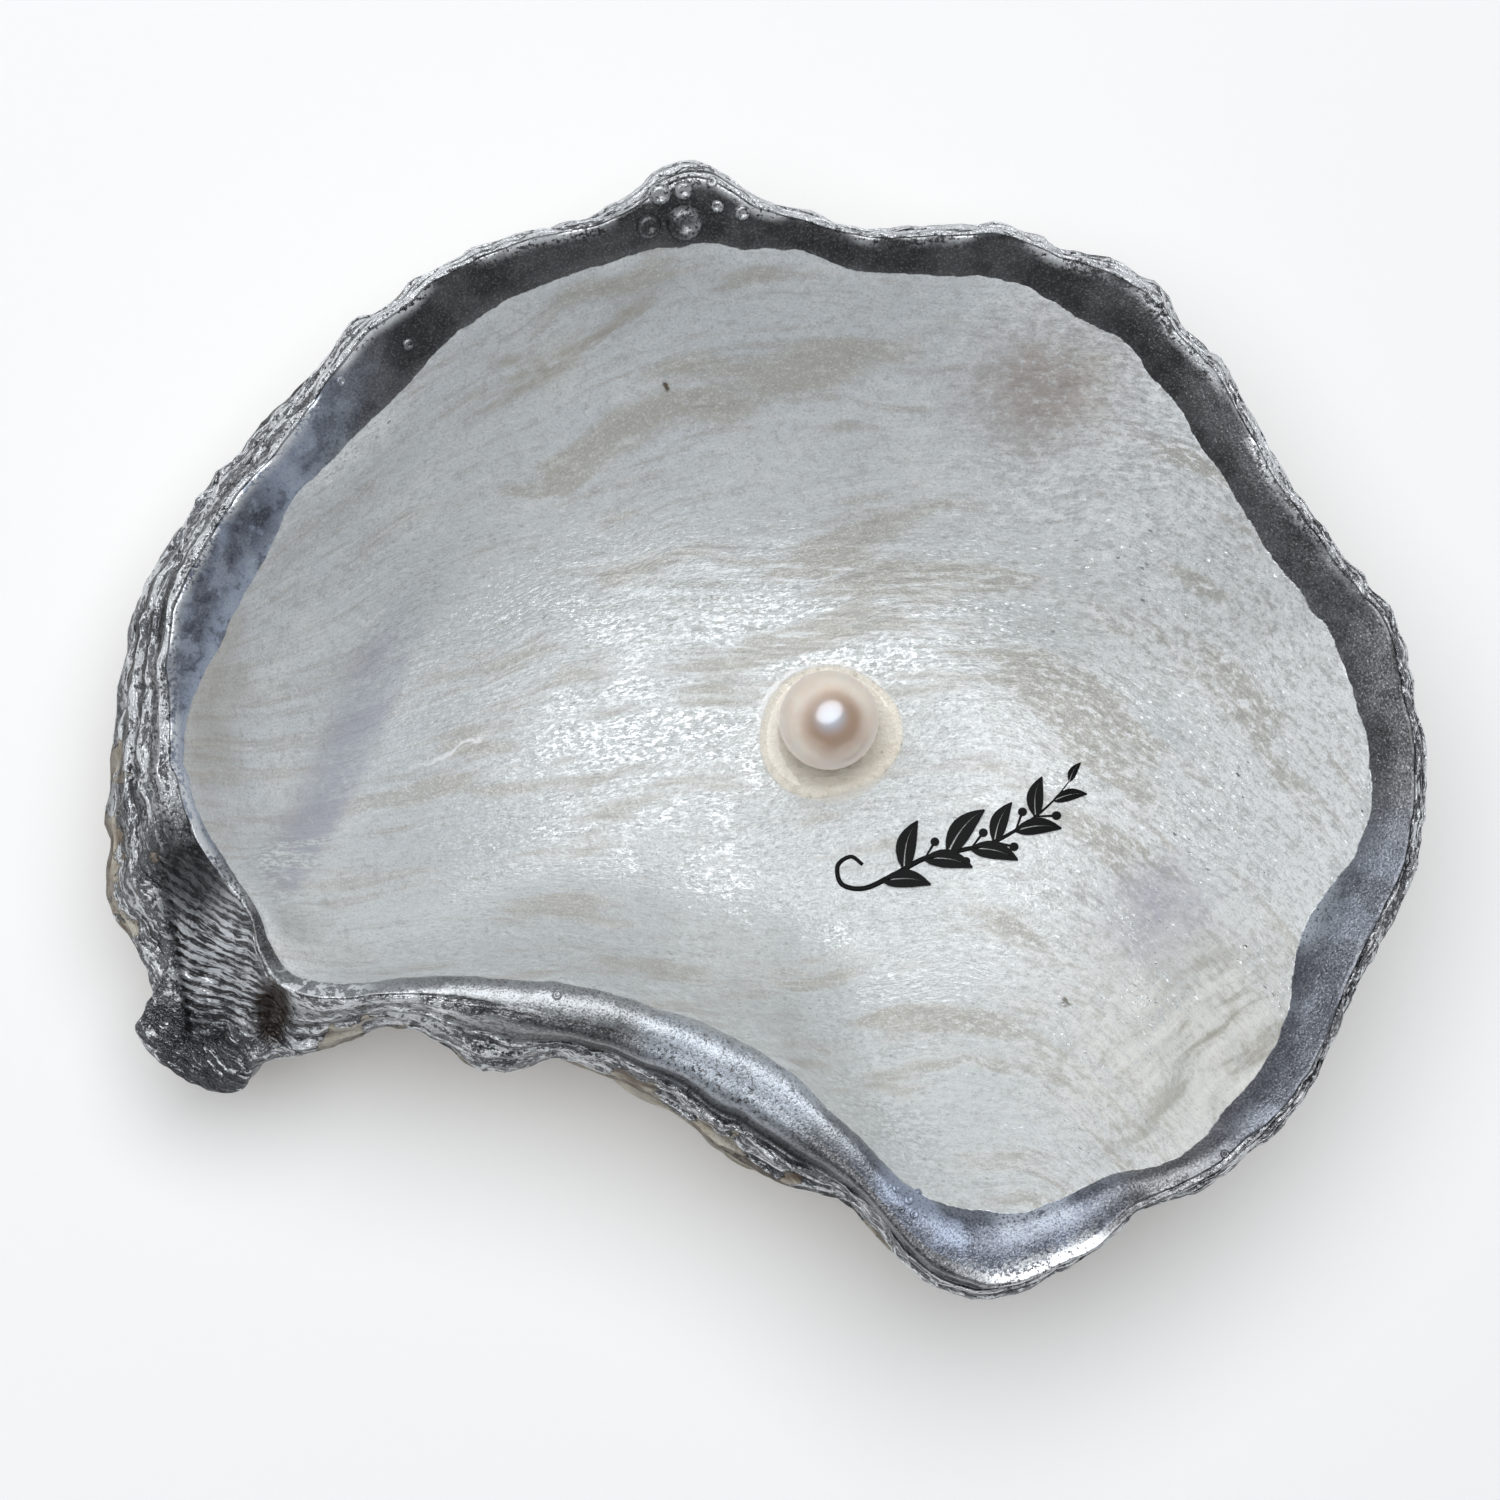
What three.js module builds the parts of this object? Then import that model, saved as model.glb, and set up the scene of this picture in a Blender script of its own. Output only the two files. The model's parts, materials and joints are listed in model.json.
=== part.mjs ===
// Pearl shell dish: one cupped oyster valve with a painted bowl, and a pearl held in it by a dab of clear glue.
// Millimetres, +Z up. X is the long way of the shell, with the hinge at the low end of X and Y.
// The origin is under the middle of the shell, on the surface that it stands on.
import * as THREE from "three";
import { mergeVertices } from "three/addons/utils/BufferGeometryUtils.js";

// Driving dimensions.
const COLUMNS = 104; // steps round the shell
const FLOOR = { x: 4, y: 2, z: 3.5, halfLength: 12, halfWidth: 9 }; // the flat middle of the bowl
const SHELF_SLOPE = 0.2; // fall of the painted shelf inside the lip
const SHELF_ROUNDING = 1.2; // rounding between shelf and wall
const FOLD_DEPTH = 0.35; // soft folds in the wall of the bowl
const BOWL_CURVE = { power: 2.3, alongX: 0.55, alongY: 0.45 }; // its wall is steepest at the hinge end
const BELLY_CURVE = { power: 1.85, alongX: 0.35, alongY: 0.15 };
const SCAR = { x: 0, y: 1.5, halfLength: 16, halfWidth: 11.5 }; // the flat that the shell stands on
const RIB_HEIGHT = 0.6; // ribs that run down the outside
const LIGAMENT_RIDGE = 0.3; // growth lines across the ligament trough
const TROUGH_END = 0.92; // the trough ends short of the beak, as a share of the way out
const BEAK_THICKNESS = 2.4; // the blunt end of the beak
const PEARL = { x: 5.8, y: 2.3, radius: 3.75 };
const GLUE = { radius: 5.9, height: 2.6, edge: 0.35, overhang: 0.15 };
const GLUE_SPREAD = { start: 0.8, twoLobes: 0.06, threeLobes: 0.036 }; // how far the dab is from round
const CLEARANCE = 0.3; // gap between pieces that touch

// Stations round the shell, anticlockwise from the right:
// outline x y z, lip x y z, width of the shelf inside the lip, share of ligament, dip between lip and outline.
const STATIONS = [
  [47.4, 0.0, 21.8, 46.3, -0.1, 23.6, 3.0, 0, 0],
  [46.5, 5.1, 21.7, 45.5, 4.7, 23.4, 3.3, 0, 0],
  [45.3, 9.6, 21.5, 44.3, 8.9, 23.2, 3.5, 0, 0],
  [42.2, 12.6, 21.6, 41.4, 11.7, 23.4, 3.1, 0, 0],
  [40.2, 15.3, 21.8, 39.3, 14.5, 23.7, 3.1, 0, 0],
  [37.7, 18.5, 22.1, 36.8, 17.7, 24.1, 2.7, 0, 0],
  [36.3, 21.1, 22.2, 35.3, 20.5, 24.2, 2.9, 0, 0],
  [34.4, 24.3, 22.1, 33.4, 23.7, 24.0, 3.3, 0, 0],
  [32.9, 27.5, 21.9, 32.0, 26.6, 23.8, 3.5, 0, 0],
  [30.0, 30.2, 21.9, 29.3, 29.3, 23.7, 3.1, 0, 0],
  [28.5, 32.6, 22.0, 27.6, 31.6, 23.8, 3.3, 0, 0],
  [25.3, 34.5, 22.1, 24.7, 33.3, 24.0, 3.6, 0, 0],
  [20.8, 35.7, 22.1, 20.4, 34.6, 24.1, 2.7, 0, 0],
  [16.7, 37.0, 22.2, 16.4, 35.9, 24.2, 3.0, 0, 0],
  [11.2, 36.7, 22.1, 11.0, 35.7, 24.1, 2.7, 0, 0],
  [6.6, 36.5, 22.2, 6.5, 35.6, 24.2, 2.4, 0, 0],
  [2.7, 37.6, 22.5, 2.4, 36.5, 24.6, 2.1, 0, 0],
  [-1.3, 38.4, 22.8, -1.5, 37.3, 25.1, 2.9, 0, 0],
  [-3.3, 39.9, 23.0, -3.5, 38.5, 25.6, 4.1, 0, 0],
  [-6.1, 40.8, 23.0, -6.0, 39.3, 25.8, 4.4, 0, 0],
  [-8.7, 40.3, 22.9, -8.2, 38.7, 25.6, 4.2, 0, 0],
  [-10.3, 38.6, 22.7, -10.0, 37.4, 25.1, 3.1, 0, 0],
  [-14.0, 36.8, 22.2, -13.4, 35.8, 24.6, 2.5, 0, 0],
  [-18.5, 35.8, 21.8, -18.0, 34.8, 24.3, 3.1, 0, 0],
  [-22.6, 34.2, 21.4, -22.0, 33.2, 24.0, 3.3, 0, 0],
  [-25.7, 32.4, 20.8, -24.9, 31.5, 23.7, 3.7, 0, 0],
  [-27.7, 30.6, 20.2, -27.0, 29.6, 23.5, 3.9, 0, 0],
  [-31.0, 28.8, 19.4, -29.8, 27.7, 23.3, 4.7, 0, 0],
  [-32.8, 25.9, 18.3, -31.7, 25.1, 23.2, 4.3, 0, 0],
  [-35.8, 23.1, 17.0, -33.7, 22.1, 23.1, 3.4, 0, 0],
  [-39.0, 19.8, 15.9, -36.1, 18.9, 23.0, 3.0, 0, 0],
  [-41.8, 16.1, 15.0, -38.2, 15.3, 22.9, 3.0, 0, 0],
  [-44.1, 12.3, 14.4, -40.2, 11.8, 22.7, 3.2, 0, 0],
  [-45.9, 7.8, 13.9, -41.6, 7.9, 22.5, 2.7, 0, 0],
  [-46.9, 3.3, 13.5, -42.5, 4.0, 22.4, 2.0, 0, 0],
  [-47.3, -1.2, 13.2, -43.0, 0.6, 22.2, 1.4, 0, 0],
  [-47.4, -5.4, 12.9, -42.9, -2.4, 22.0, 1.0, 0, -0.2],
  [-47.4, -9.4, 12.6, -42.2, -4.9, 21.6, 0.8, 0.1, -0.6],
  [-47.3, -12.4, 12.1, -41.6, -6.9, 21.3, 0.8, 0.4, -0.9],
  [-45.3, -15.6, 11.7, -40.8, -8.6, 21.0, 0.8, 0.8, -0.6],
  [-44.1, -18.8, 11.5, -39.9, -10.0, 20.7, 0.8, 1, 0.7],
  [-45.2, -21.4, 11.2, -39.0, -11.2, 20.4, 0.8, 1, 2.0],
  [-42.6, -24.3, 10.9, -38.3, -12.1, 20.2, 0.8, 1, 2.4],
  [-40.4, -25.5, 10.7, -37.7, -12.9, 20.1, 0.8, 1, 1.8],
  [-38.0, -25.7, 10.8, -37.1, -13.9, 20.1, 0.9, 1, 0.4],
  [-36.4, -23.9, 11.3, -36.7, -15.6, 20.3, 1.0, 0.6, 0.8],
  [-34.6, -23.2, 12.2, -35.8, -17.7, 20.7, 1.3, 0.2, 2.0],
  [-32.0, -22.9, 12.9, -34.0, -19.2, 21.3, 1.8, 0, 1.2],
  [-29.2, -21.9, 14.0, -30.8, -19.6, 22.0, 2.1, 0, 0.3],
  [-26.6, -21.2, 14.8, -27.4, -19.3, 22.6, 2.1, 0, 0],
  [-23.4, -22.3, 15.2, -24.0, -19.3, 23.0, 2.1, 0, 0],
  [-20.6, -24.0, 15.4, -20.8, -19.6, 23.2, 2.2, 0, 0],
  [-17.8, -24.3, 15.5, -17.9, -20.2, 23.3, 2.5, 0, 0],
  [-15.2, -23.5, 15.7, -14.9, -20.9, 23.4, 2.7, 0, 0],
  [-11.5, -24.7, 15.8, -11.2, -21.9, 23.4, 2.4, 0, 0],
  [-7.2, -26.8, 15.8, -7.0, -23.2, 23.4, 2.3, 0, 0],
  [-3.4, -29.6, 15.9, -2.8, -25.1, 23.3, 2.6, 0, 0],
  [0.6, -32.2, 16.2, 1.2, -27.6, 23.2, 2.8, 0, 0],
  [4.4, -33.1, 16.8, 4.2, -30.2, 23.0, 2.6, 0, 0],
  [7.6, -35.3, 17.4, 7.0, -33.0, 22.8, 3.0, 0, 0],
  [9.6, -37.8, 18.0, 9.6, -35.9, 22.6, 3.6, 0, 0],
  [12.2, -40.0, 18.6, 12.6, -37.9, 22.5, 4.0, 0, 0],
  [16.0, -40.6, 19.2, 16.0, -38.8, 22.5, 4.2, 0, 0],
  [19.8, -39.3, 19.8, 19.4, -37.9, 22.6, 3.6, 0, 0],
  [23.2, -37.6, 20.4, 22.6, -36.5, 22.8, 3.4, 0, 0],
  [26.2, -34.7, 21.0, 25.5, -34.0, 23.0, 2.4, 0, 0],
  [29.6, -33.4, 21.3, 29.1, -32.5, 23.1, 1.8, 0, 0],
  [33.0, -31.3, 21.5, 32.4, -30.5, 23.2, 1.8, 0, 0],
  [36.3, -28.6, 21.6, 35.6, -27.9, 23.2, 2.4, 0, 0],
  [39.0, -25.7, 21.6, 38.2, -25.2, 23.2, 2.7, 0, 0],
  [41.2, -21.1, 21.6, 40.4, -20.8, 23.2, 3.2, 0, 0],
  [43.5, -16.1, 21.6, 42.6, -15.7, 23.2, 3.3, 0, 0],
  [46.2, -11.3, 21.6, 45.1, -10.9, 23.3, 3.4, 0, 0],
  [47.7, -6.2, 21.7, 46.5, -5.9, 23.5, 2.9, 0, 0],
];
const SAMPLES_PER_STATION = 12; // for measuring the way round

// Rows of the bowl between its floor and the shelf, as shares of the way out.
const BOWL_ROWS = [0, 0.16, 0.32, 0.47, 0.61, 0.73, 0.84, 0.93];
const WALL_TOP = 0.9; // rows near the shelf, as distances in from its edge
const SHELF_EDGE = 0.3;
const SHELF_MIDDLE = 0.45; // a row along the shelf, as a share of its width

// Laminae between the lip and the outline: share of the way out, share of the way down.
const TERRACE_ROWS = [
  [0.16, 0.05],
  [0.3, 0.2],
  [0.47, 0.26],
  [0.54, 0.46],
  [0.7, 0.52],
  [0.78, 0.74],
  [0.94, 0.8],
];

// Laminae on the belly, from the outline (1) to the scar (0): where each free edge lies, and how far it stands out.
const BELLY_LAYERS = [
  [0.93, 1.2],
  [0.83, 1.2],
  [0.73, 1.4],
  [0.62, 1.1],
  [0.51, 1.2],
  [0.4, 0.9],
  [0.29, 0.8],
  [0.18, 0.5],
];
const TREAD = 0.012; // width of a lamina's step, as a share of the belly

// A fixed pseudo-random value from 0 to 1 for a whole number and a seed.
function scatter(index, seed) {
  const value = Math.sin(index * 127.1 + seed * 311.7) * 43758.5453;
  return value - Math.floor(value);
}

// Smooth noise from -1 to 1 round the shell, with a given number of waves.
function waver(turn, waves, seed) {
  const place = (turn - Math.floor(turn)) * waves;
  const index = Math.floor(place);
  const along = place - index;
  const eased = along * along * (3 - 2 * along);
  const before = scatter(index % waves, seed);
  const after = scatter((index + 1) % waves, seed);
  return 2 * (before + (after - before) * eased) - 1;
}

const mix = THREE.MathUtils.lerp;

function smoothMin(a, b, width) {
  const share = THREE.MathUtils.clamp(0.5 + (0.5 * (b - a)) / width, 0, 1);
  return mix(b, a, share) - width * share * (1 - share);
}

// The station values at a place on the closed Catmull-Rom curve through the stations.
function stationAt(place) {
  const count = STATIONS.length;
  const index = Math.floor(place);
  const t = place - index;
  const row = (step) => STATIONS[(index + step + count) % count];
  const [p0, p1, p2, p3] = [row(-1), row(0), row(1), row(2)];
  return p1.map(
    (value, i) =>
      value +
      0.5 *
        t *
        (p2[i] - p0[i] +
          t *
            (2 * p0[i] - 5 * value + 4 * p2[i] - p3[i] +
              t * (3 * (value - p2[i]) + p3[i] - p0[i]))),
  );
}

// The way round the shell, measured midway between outline and lip.
function measureRound() {
  const total = STATIONS.length * SAMPLES_PER_STATION;
  const lengths = [0];
  let last = stationAt(0);
  for (let i = 1; i <= total; i++) {
    const next = stationAt(i / SAMPLES_PER_STATION);
    const outline = Math.hypot(next[0] - last[0], next[1] - last[1]);
    const lip = Math.hypot(next[3] - last[3], next[4] - last[4]);
    lengths.push(lengths[i - 1] + (outline + lip) / 2);
    last = next;
  }
  return lengths;
}
const ROUND = measureRound();

// The station place at a share of the way round.
function placeAt(turn) {
  const wanted = turn * ROUND[ROUND.length - 1];
  let i = 1;
  while (ROUND[i] < wanted && i < ROUND.length - 1) i++;
  const share = (wanted - ROUND[i - 1]) / (ROUND[i] - ROUND[i - 1]);
  return (i - 1 + share) / SAMPLES_PER_STATION;
}

// Everything about one section of the shell at a share of the way round.
function sectionAt(turn) {
  const [ox, oy, oz, lx, ly, lz, shelf, ligament, dip] = stationAt(placeAt(turn));
  const reach = Math.hypot(lx - FLOOR.x, ly - FLOOR.y);
  const out = { x: (lx - FLOOR.x) / reach, y: (ly - FLOOR.y) / reach };
  const floorX = FLOOR.x + FLOOR.halfLength * out.x;
  const floorY = FLOOR.y + FLOOR.halfWidth * out.y;
  return {
    turn,
    outline: { x: ox, y: oy, z: oz },
    lip: { x: lx, y: ly, z: lz },
    shelf: Math.max(shelf, 0.6),
    ligament: THREE.MathUtils.clamp(ligament, 0, 1),
    dip,
    out,
    floorEdge: { x: floorX, y: floorY },
    reach: Math.hypot(lx - floorX, ly - floorY),
    bowlPower: BOWL_CURVE.power - BOWL_CURVE.alongX * out.x - BOWL_CURVE.alongY * out.y,
    bellyPower: BELLY_CURVE.power - BELLY_CURVE.alongX * out.x - BELLY_CURVE.alongY * out.y,
  };
}

// A point on the inside, at a distance in from the lip towards the edge of the floor.
function bowlPoint(section, inward) {
  const { lip, floorEdge, reach, shelf, turn } = section;
  const shelfZ = lip.z - SHELF_SLOPE * inward;
  const wallTop = lip.z - SHELF_SLOPE * shelf;
  const rise = (reach - inward) / (reach - shelf);
  const fold = FOLD_DEPTH * waver(turn, 11, 3) * 4 * rise * Math.max(0, 1 - rise);
  const wallZ = FLOOR.z + (wallTop - FLOOR.z) * rise ** section.bowlPower + fold;
  const z = rise < 0.6 ? wallZ : smoothMin(shelfZ, wallZ, SHELF_ROUNDING);
  return [mix(lip.x, floorEdge.x, inward / reach), mix(lip.y, floorEdge.y, inward / reach), z];
}

// A point between the lip and the outline, where the edges of the laminae show.
function terracePoint(section, row) {
  const { lip, outline, ligament, dip, turn } = section;
  const [way, fall] = TERRACE_ROWS[row];
  const ragged = 0.05 * waver(turn, 38, 20 + row) * (1 - ligament);
  const share = way + ragged;
  const drop = mix(fall, share, ligament);
  const ridge = LIGAMENT_RIDGE * ligament * (row % 2 ? 1 : -1);
  const sag = dip * Math.sin(Math.PI * THREE.MathUtils.clamp(share / TROUGH_END, 0, 1)) ** 0.8;
  return [
    mix(lip.x, outline.x, share),
    mix(lip.y, outline.y, share),
    mix(lip.z, outline.z, drop) - sag + ridge,
  ];
}

// A point on the belly: share 1 is on the outline and 0 on the scar, and proud is how far it stands out.
function bellyPoint(section, share, proud) {
  const { outline, out, turn, ligament } = section;
  const scarX = SCAR.x + SCAR.halfLength * out.x;
  const scarY = SCAR.y + SCAR.halfWidth * out.y;
  const rib = RIB_HEIGHT * (0.5 + 0.5 * waver(turn, 34, 8)) * Math.min(1, 3 * share) * Math.min(1, 6 * (1 - share));
  const lift = proud + rib;
  const lean = 0.35 + 0.9 * (1 - share); // the outside faces further down towards the scar
  const blunt = BEAK_THICKNESS * ligament * share * Math.min(1, 14 * (1 - share));
  const height = outline.z * share ** section.bellyPower - Math.sin(lean) * lift - blunt;
  return [
    mix(scarX, outline.x, share) + Math.cos(lean) * lift * out.x,
    mix(scarY, outline.y, share) + Math.cos(lean) * lift * out.y,
    Math.max(height, 0.12 * Math.min(1, 8 * share)),
  ];
}

// One ring of the shell for a function from section to point.
function ring(sections, pointOf) {
  return sections.map(pointOf);
}

function shellRings(sections) {
  const rings = [];
  for (const share of BOWL_ROWS)
    rings.push(ring(sections, (s) => bowlPoint(s, mix(s.reach, s.shelf + WALL_TOP, share))));
  rings.push(ring(sections, (s) => bowlPoint(s, s.shelf + SHELF_EDGE)));
  rings.push(ring(sections, (s) => bowlPoint(s, s.shelf * SHELF_MIDDLE)));
  rings.push(ring(sections, (s) => bowlPoint(s, 0)));
  TERRACE_ROWS.forEach((_, row) => rings.push(ring(sections, (s) => terracePoint(s, row))));
  rings.push(ring(sections, (s) => [s.outline.x, s.outline.y, s.outline.z]));
  BELLY_LAYERS.forEach(([edge, proud], layer) => {
    const edgeAt = (s) => edge + 0.025 * waver(s.turn, 24, 40 + layer);
    const proudAt = (s) => proud * (0.6 + 0.4 * waver(s.turn, 17, 60 + layer));
    rings.push(ring(sections, (s) => bellyPoint(s, edgeAt(s) + TREAD, 0)));
    rings.push(ring(sections, (s) => bellyPoint(s, edgeAt(s) - TREAD, proudAt(s))));
  });
  rings.push(ring(sections, (s) => bellyPoint(s, 0, 0)));
  return rings;
}

// Closes a stack of rings with a point in the middle of the first and of the last.
function closedSkin(rings, firstPoint, lastPoint) {
  const points = [...rings.flat(), firstPoint, lastPoint];
  const count = rings[0].length;
  const first = points.length - 2;
  const last = points.length - 1;
  const faces = [];
  for (let j = 0; j < count; j++) {
    const k = (j + 1) % count;
    faces.push(first, j, k);
    for (let i = 0; i < rings.length - 1; i++) {
      const near = i * count;
      const far = near + count;
      faces.push(near + j, far + j, far + k, near + j, far + k, near + k);
    }
    const end = (rings.length - 1) * count;
    faces.push(end + j, last, end + k);
  }
  const geometry = new THREE.BufferGeometry();
  geometry.setAttribute("position", new THREE.Float32BufferAttribute(points.flat(), 3));
  geometry.setIndex(faces);
  return geometry;
}

function shell() {
  const sections = [];
  for (let j = 0; j < COLUMNS; j++) sections.push(sectionAt(j / COLUMNS));
  const geometry = closedSkin(
    shellRings(sections),
    [FLOOR.x, FLOOR.y, FLOOR.z],
    [SCAR.x, SCAR.y, 0],
  );
  geometry.computeVertexNormals();
  const material = new THREE.MeshStandardMaterial({ color: 0xc9c8c2, roughness: 0.4, metalness: 0.1 });
  const mesh = new THREE.Mesh(geometry, material);
  mesh.name = "shell";
  return mesh;
}

const PEARL_Z = FLOOR.z + CLEARANCE + PEARL.radius;

function pearl() {
  const geometry = new THREE.SphereGeometry(PEARL.radius, 28, 16);
  const material = new THREE.MeshStandardMaterial({ color: 0xd9b9a6, roughness: 0.2, metalness: 0.15 });
  const mesh = new THREE.Mesh(geometry, material);
  mesh.name = "pearl";
  mesh.position.set(PEARL.x, PEARL.y, PEARL_Z);
  return mesh;
}

// The dab of glue is a low ring that the pearl sits in. Its profile runs up the pearl and out to the edge.
function glueProfile() {
  const hollow = PEARL.radius + CLEARANCE;
  const base = CLEARANCE;
  const centre = CLEARANCE + PEARL.radius;
  const meet = Math.asin((GLUE.height - centre) / hollow);
  const foot = Math.asin((base - centre) / hollow);
  const profile = [];
  for (let i = 0; i <= 5; i++) {
    const angle = mix(meet, foot, i / 5);
    profile.push(new THREE.Vector2(hollow * Math.cos(angle), centre + hollow * Math.sin(angle)));
  }
  profile.push(new THREE.Vector2(GLUE.radius, base));
  const inner = hollow * Math.cos(meet);
  for (let i = 0; i <= 4; i++) {
    const share = i / 5;
    const radius = mix(GLUE.radius + GLUE.overhang, inner, share);
    const height = mix(base + GLUE.edge, GLUE.height, 1 - (1 - share) ** 1.7);
    profile.push(new THREE.Vector2(radius, height));
  }
  profile.push(profile[0].clone());
  return profile;
}

function glue() {
  const lathe = new THREE.LatheGeometry(glueProfile(), 44);
  lathe.deleteAttribute("normal");
  lathe.deleteAttribute("uv");
  const upright = new THREE.Matrix4().makeRotationX(Math.PI / 2);
  const geometry = mergeVertices(lathe.applyMatrix4(upright), 1e-3);
  const place = geometry.getAttribute("position");
  for (let i = 0; i < place.count; i++) {
    const x = place.getX(i);
    const y = place.getY(i);
    const radius = Math.hypot(x, y);
    const turn = Math.atan2(y, x);
    const spread = Math.max(0, radius - PEARL.radius - GLUE_SPREAD.start);
    const lobes = GLUE_SPREAD.twoLobes * Math.sin(2 * turn + 0.6) + GLUE_SPREAD.threeLobes * Math.sin(3 * turn + 2);
    const blob = 1 + spread * lobes;
    place.setX(i, x * blob);
    place.setY(i, y * blob);
  }
  geometry.computeVertexNormals();
  const material = new THREE.MeshStandardMaterial({
    color: 0xe6dfd2,
    roughness: 0.08,
    metalness: 0,
    transparent: true,
    opacity: 0.4,
  });
  const mesh = new THREE.Mesh(geometry, material);
  mesh.name = "glue";
  mesh.position.set(PEARL.x, PEARL.y, FLOOR.z);
  return mesh;
}

const group = new THREE.Group();
group.add(shell(), pearl(), glue());

export default group;
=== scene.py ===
"""A painted oyster shell dish with a pearl: the looks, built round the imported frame.

The shell is one mesh, made row by row from the same stations as the solid, at a finer pitch. Everything that
repeats on it (scales, paint blisters, glue bubbles, the inked sprig) is made by Geometry Nodes.
Shapes are worked out in millimetres and turned to metres when a mesh is made.
"""
import itertools
import json
import math

import bpy
import numpy as np
from mathutils import Matrix, Vector

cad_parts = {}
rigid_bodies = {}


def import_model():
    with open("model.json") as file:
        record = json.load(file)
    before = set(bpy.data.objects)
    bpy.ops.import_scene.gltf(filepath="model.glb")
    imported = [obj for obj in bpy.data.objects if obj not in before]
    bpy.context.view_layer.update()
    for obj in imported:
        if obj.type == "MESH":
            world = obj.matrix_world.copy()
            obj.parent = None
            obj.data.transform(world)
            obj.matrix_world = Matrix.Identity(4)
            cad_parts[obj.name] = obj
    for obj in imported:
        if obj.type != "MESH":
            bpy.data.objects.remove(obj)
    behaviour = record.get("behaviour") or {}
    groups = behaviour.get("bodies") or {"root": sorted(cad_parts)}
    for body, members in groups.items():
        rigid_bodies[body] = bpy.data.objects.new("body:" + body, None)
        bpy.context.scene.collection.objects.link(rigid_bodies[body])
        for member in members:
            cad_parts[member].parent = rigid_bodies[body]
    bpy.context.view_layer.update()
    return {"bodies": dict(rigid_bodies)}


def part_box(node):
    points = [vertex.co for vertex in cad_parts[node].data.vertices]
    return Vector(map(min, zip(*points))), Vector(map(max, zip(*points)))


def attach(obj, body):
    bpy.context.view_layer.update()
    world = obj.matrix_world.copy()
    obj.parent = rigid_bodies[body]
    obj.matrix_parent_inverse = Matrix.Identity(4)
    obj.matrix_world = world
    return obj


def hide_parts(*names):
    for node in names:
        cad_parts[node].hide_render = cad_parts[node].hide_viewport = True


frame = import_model()

MM = 0.001
SHELL, PEARL, GLUE = "shell", "pearl", "glue"
BODY = next(iter(frame["bodies"]))

# The form of the shell, in millimetres, as in the solid
FLOOR_X, FLOOR_Y, FLOOR_Z = 4.0, 2.0, 3.5
FLOOR_HALF_LENGTH, FLOOR_HALF_WIDTH = 12.0, 9.0
SHELF_SLOPE, FRONT_SLOPE = 0.55, 0.12  # of the silver band inside the lip: all round, and on the front roll
SHELF_ROUNDING = 1.2
LEAST_SHELF = 0.6
BAND_FINISH_REACH = 1.0  # from the silver band's inner edge into the bowl
FOLD_DEPTH = 0.35
BOWL_CURVE = (2.3, 0.55, 0.45)
BELLY_CURVE = (1.85, 0.35, 0.15)
SCAR_X, SCAR_Y = 0.0, 1.5
SCAR_HALF_LENGTH, SCAR_HALF_WIDTH = 16.0, 11.5
RIB_HEIGHT, FINE_RIB_HEIGHT = 0.6, 0.22
TROUGH_END = 0.92
BEAK_THICKNESS = 2.4
GLUE_X, GLUE_Y = 6.4, 1.8
STRIATION = 0.58  # from one ridge of the ligament's trough to the next

# How fine the mesh is
COLUMNS = 600
HINGE_DETAIL = 1.6  # how much closer the columns stand at the hinge
FLOOR_SHARES = (0.15, 0.4, 0.7)
WALL_ROWS = 36
SHELF_ROWS = 15
WALL_ENDS, SHELF_STARTS = 0.6, 0.3  # the last and the first of these rows, in from the shelf's inner edge
SAMPLES_PER_STATION = 12
POINTS_AT_ONCE = 20000  # that are measured against a route, to keep memory small

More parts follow.
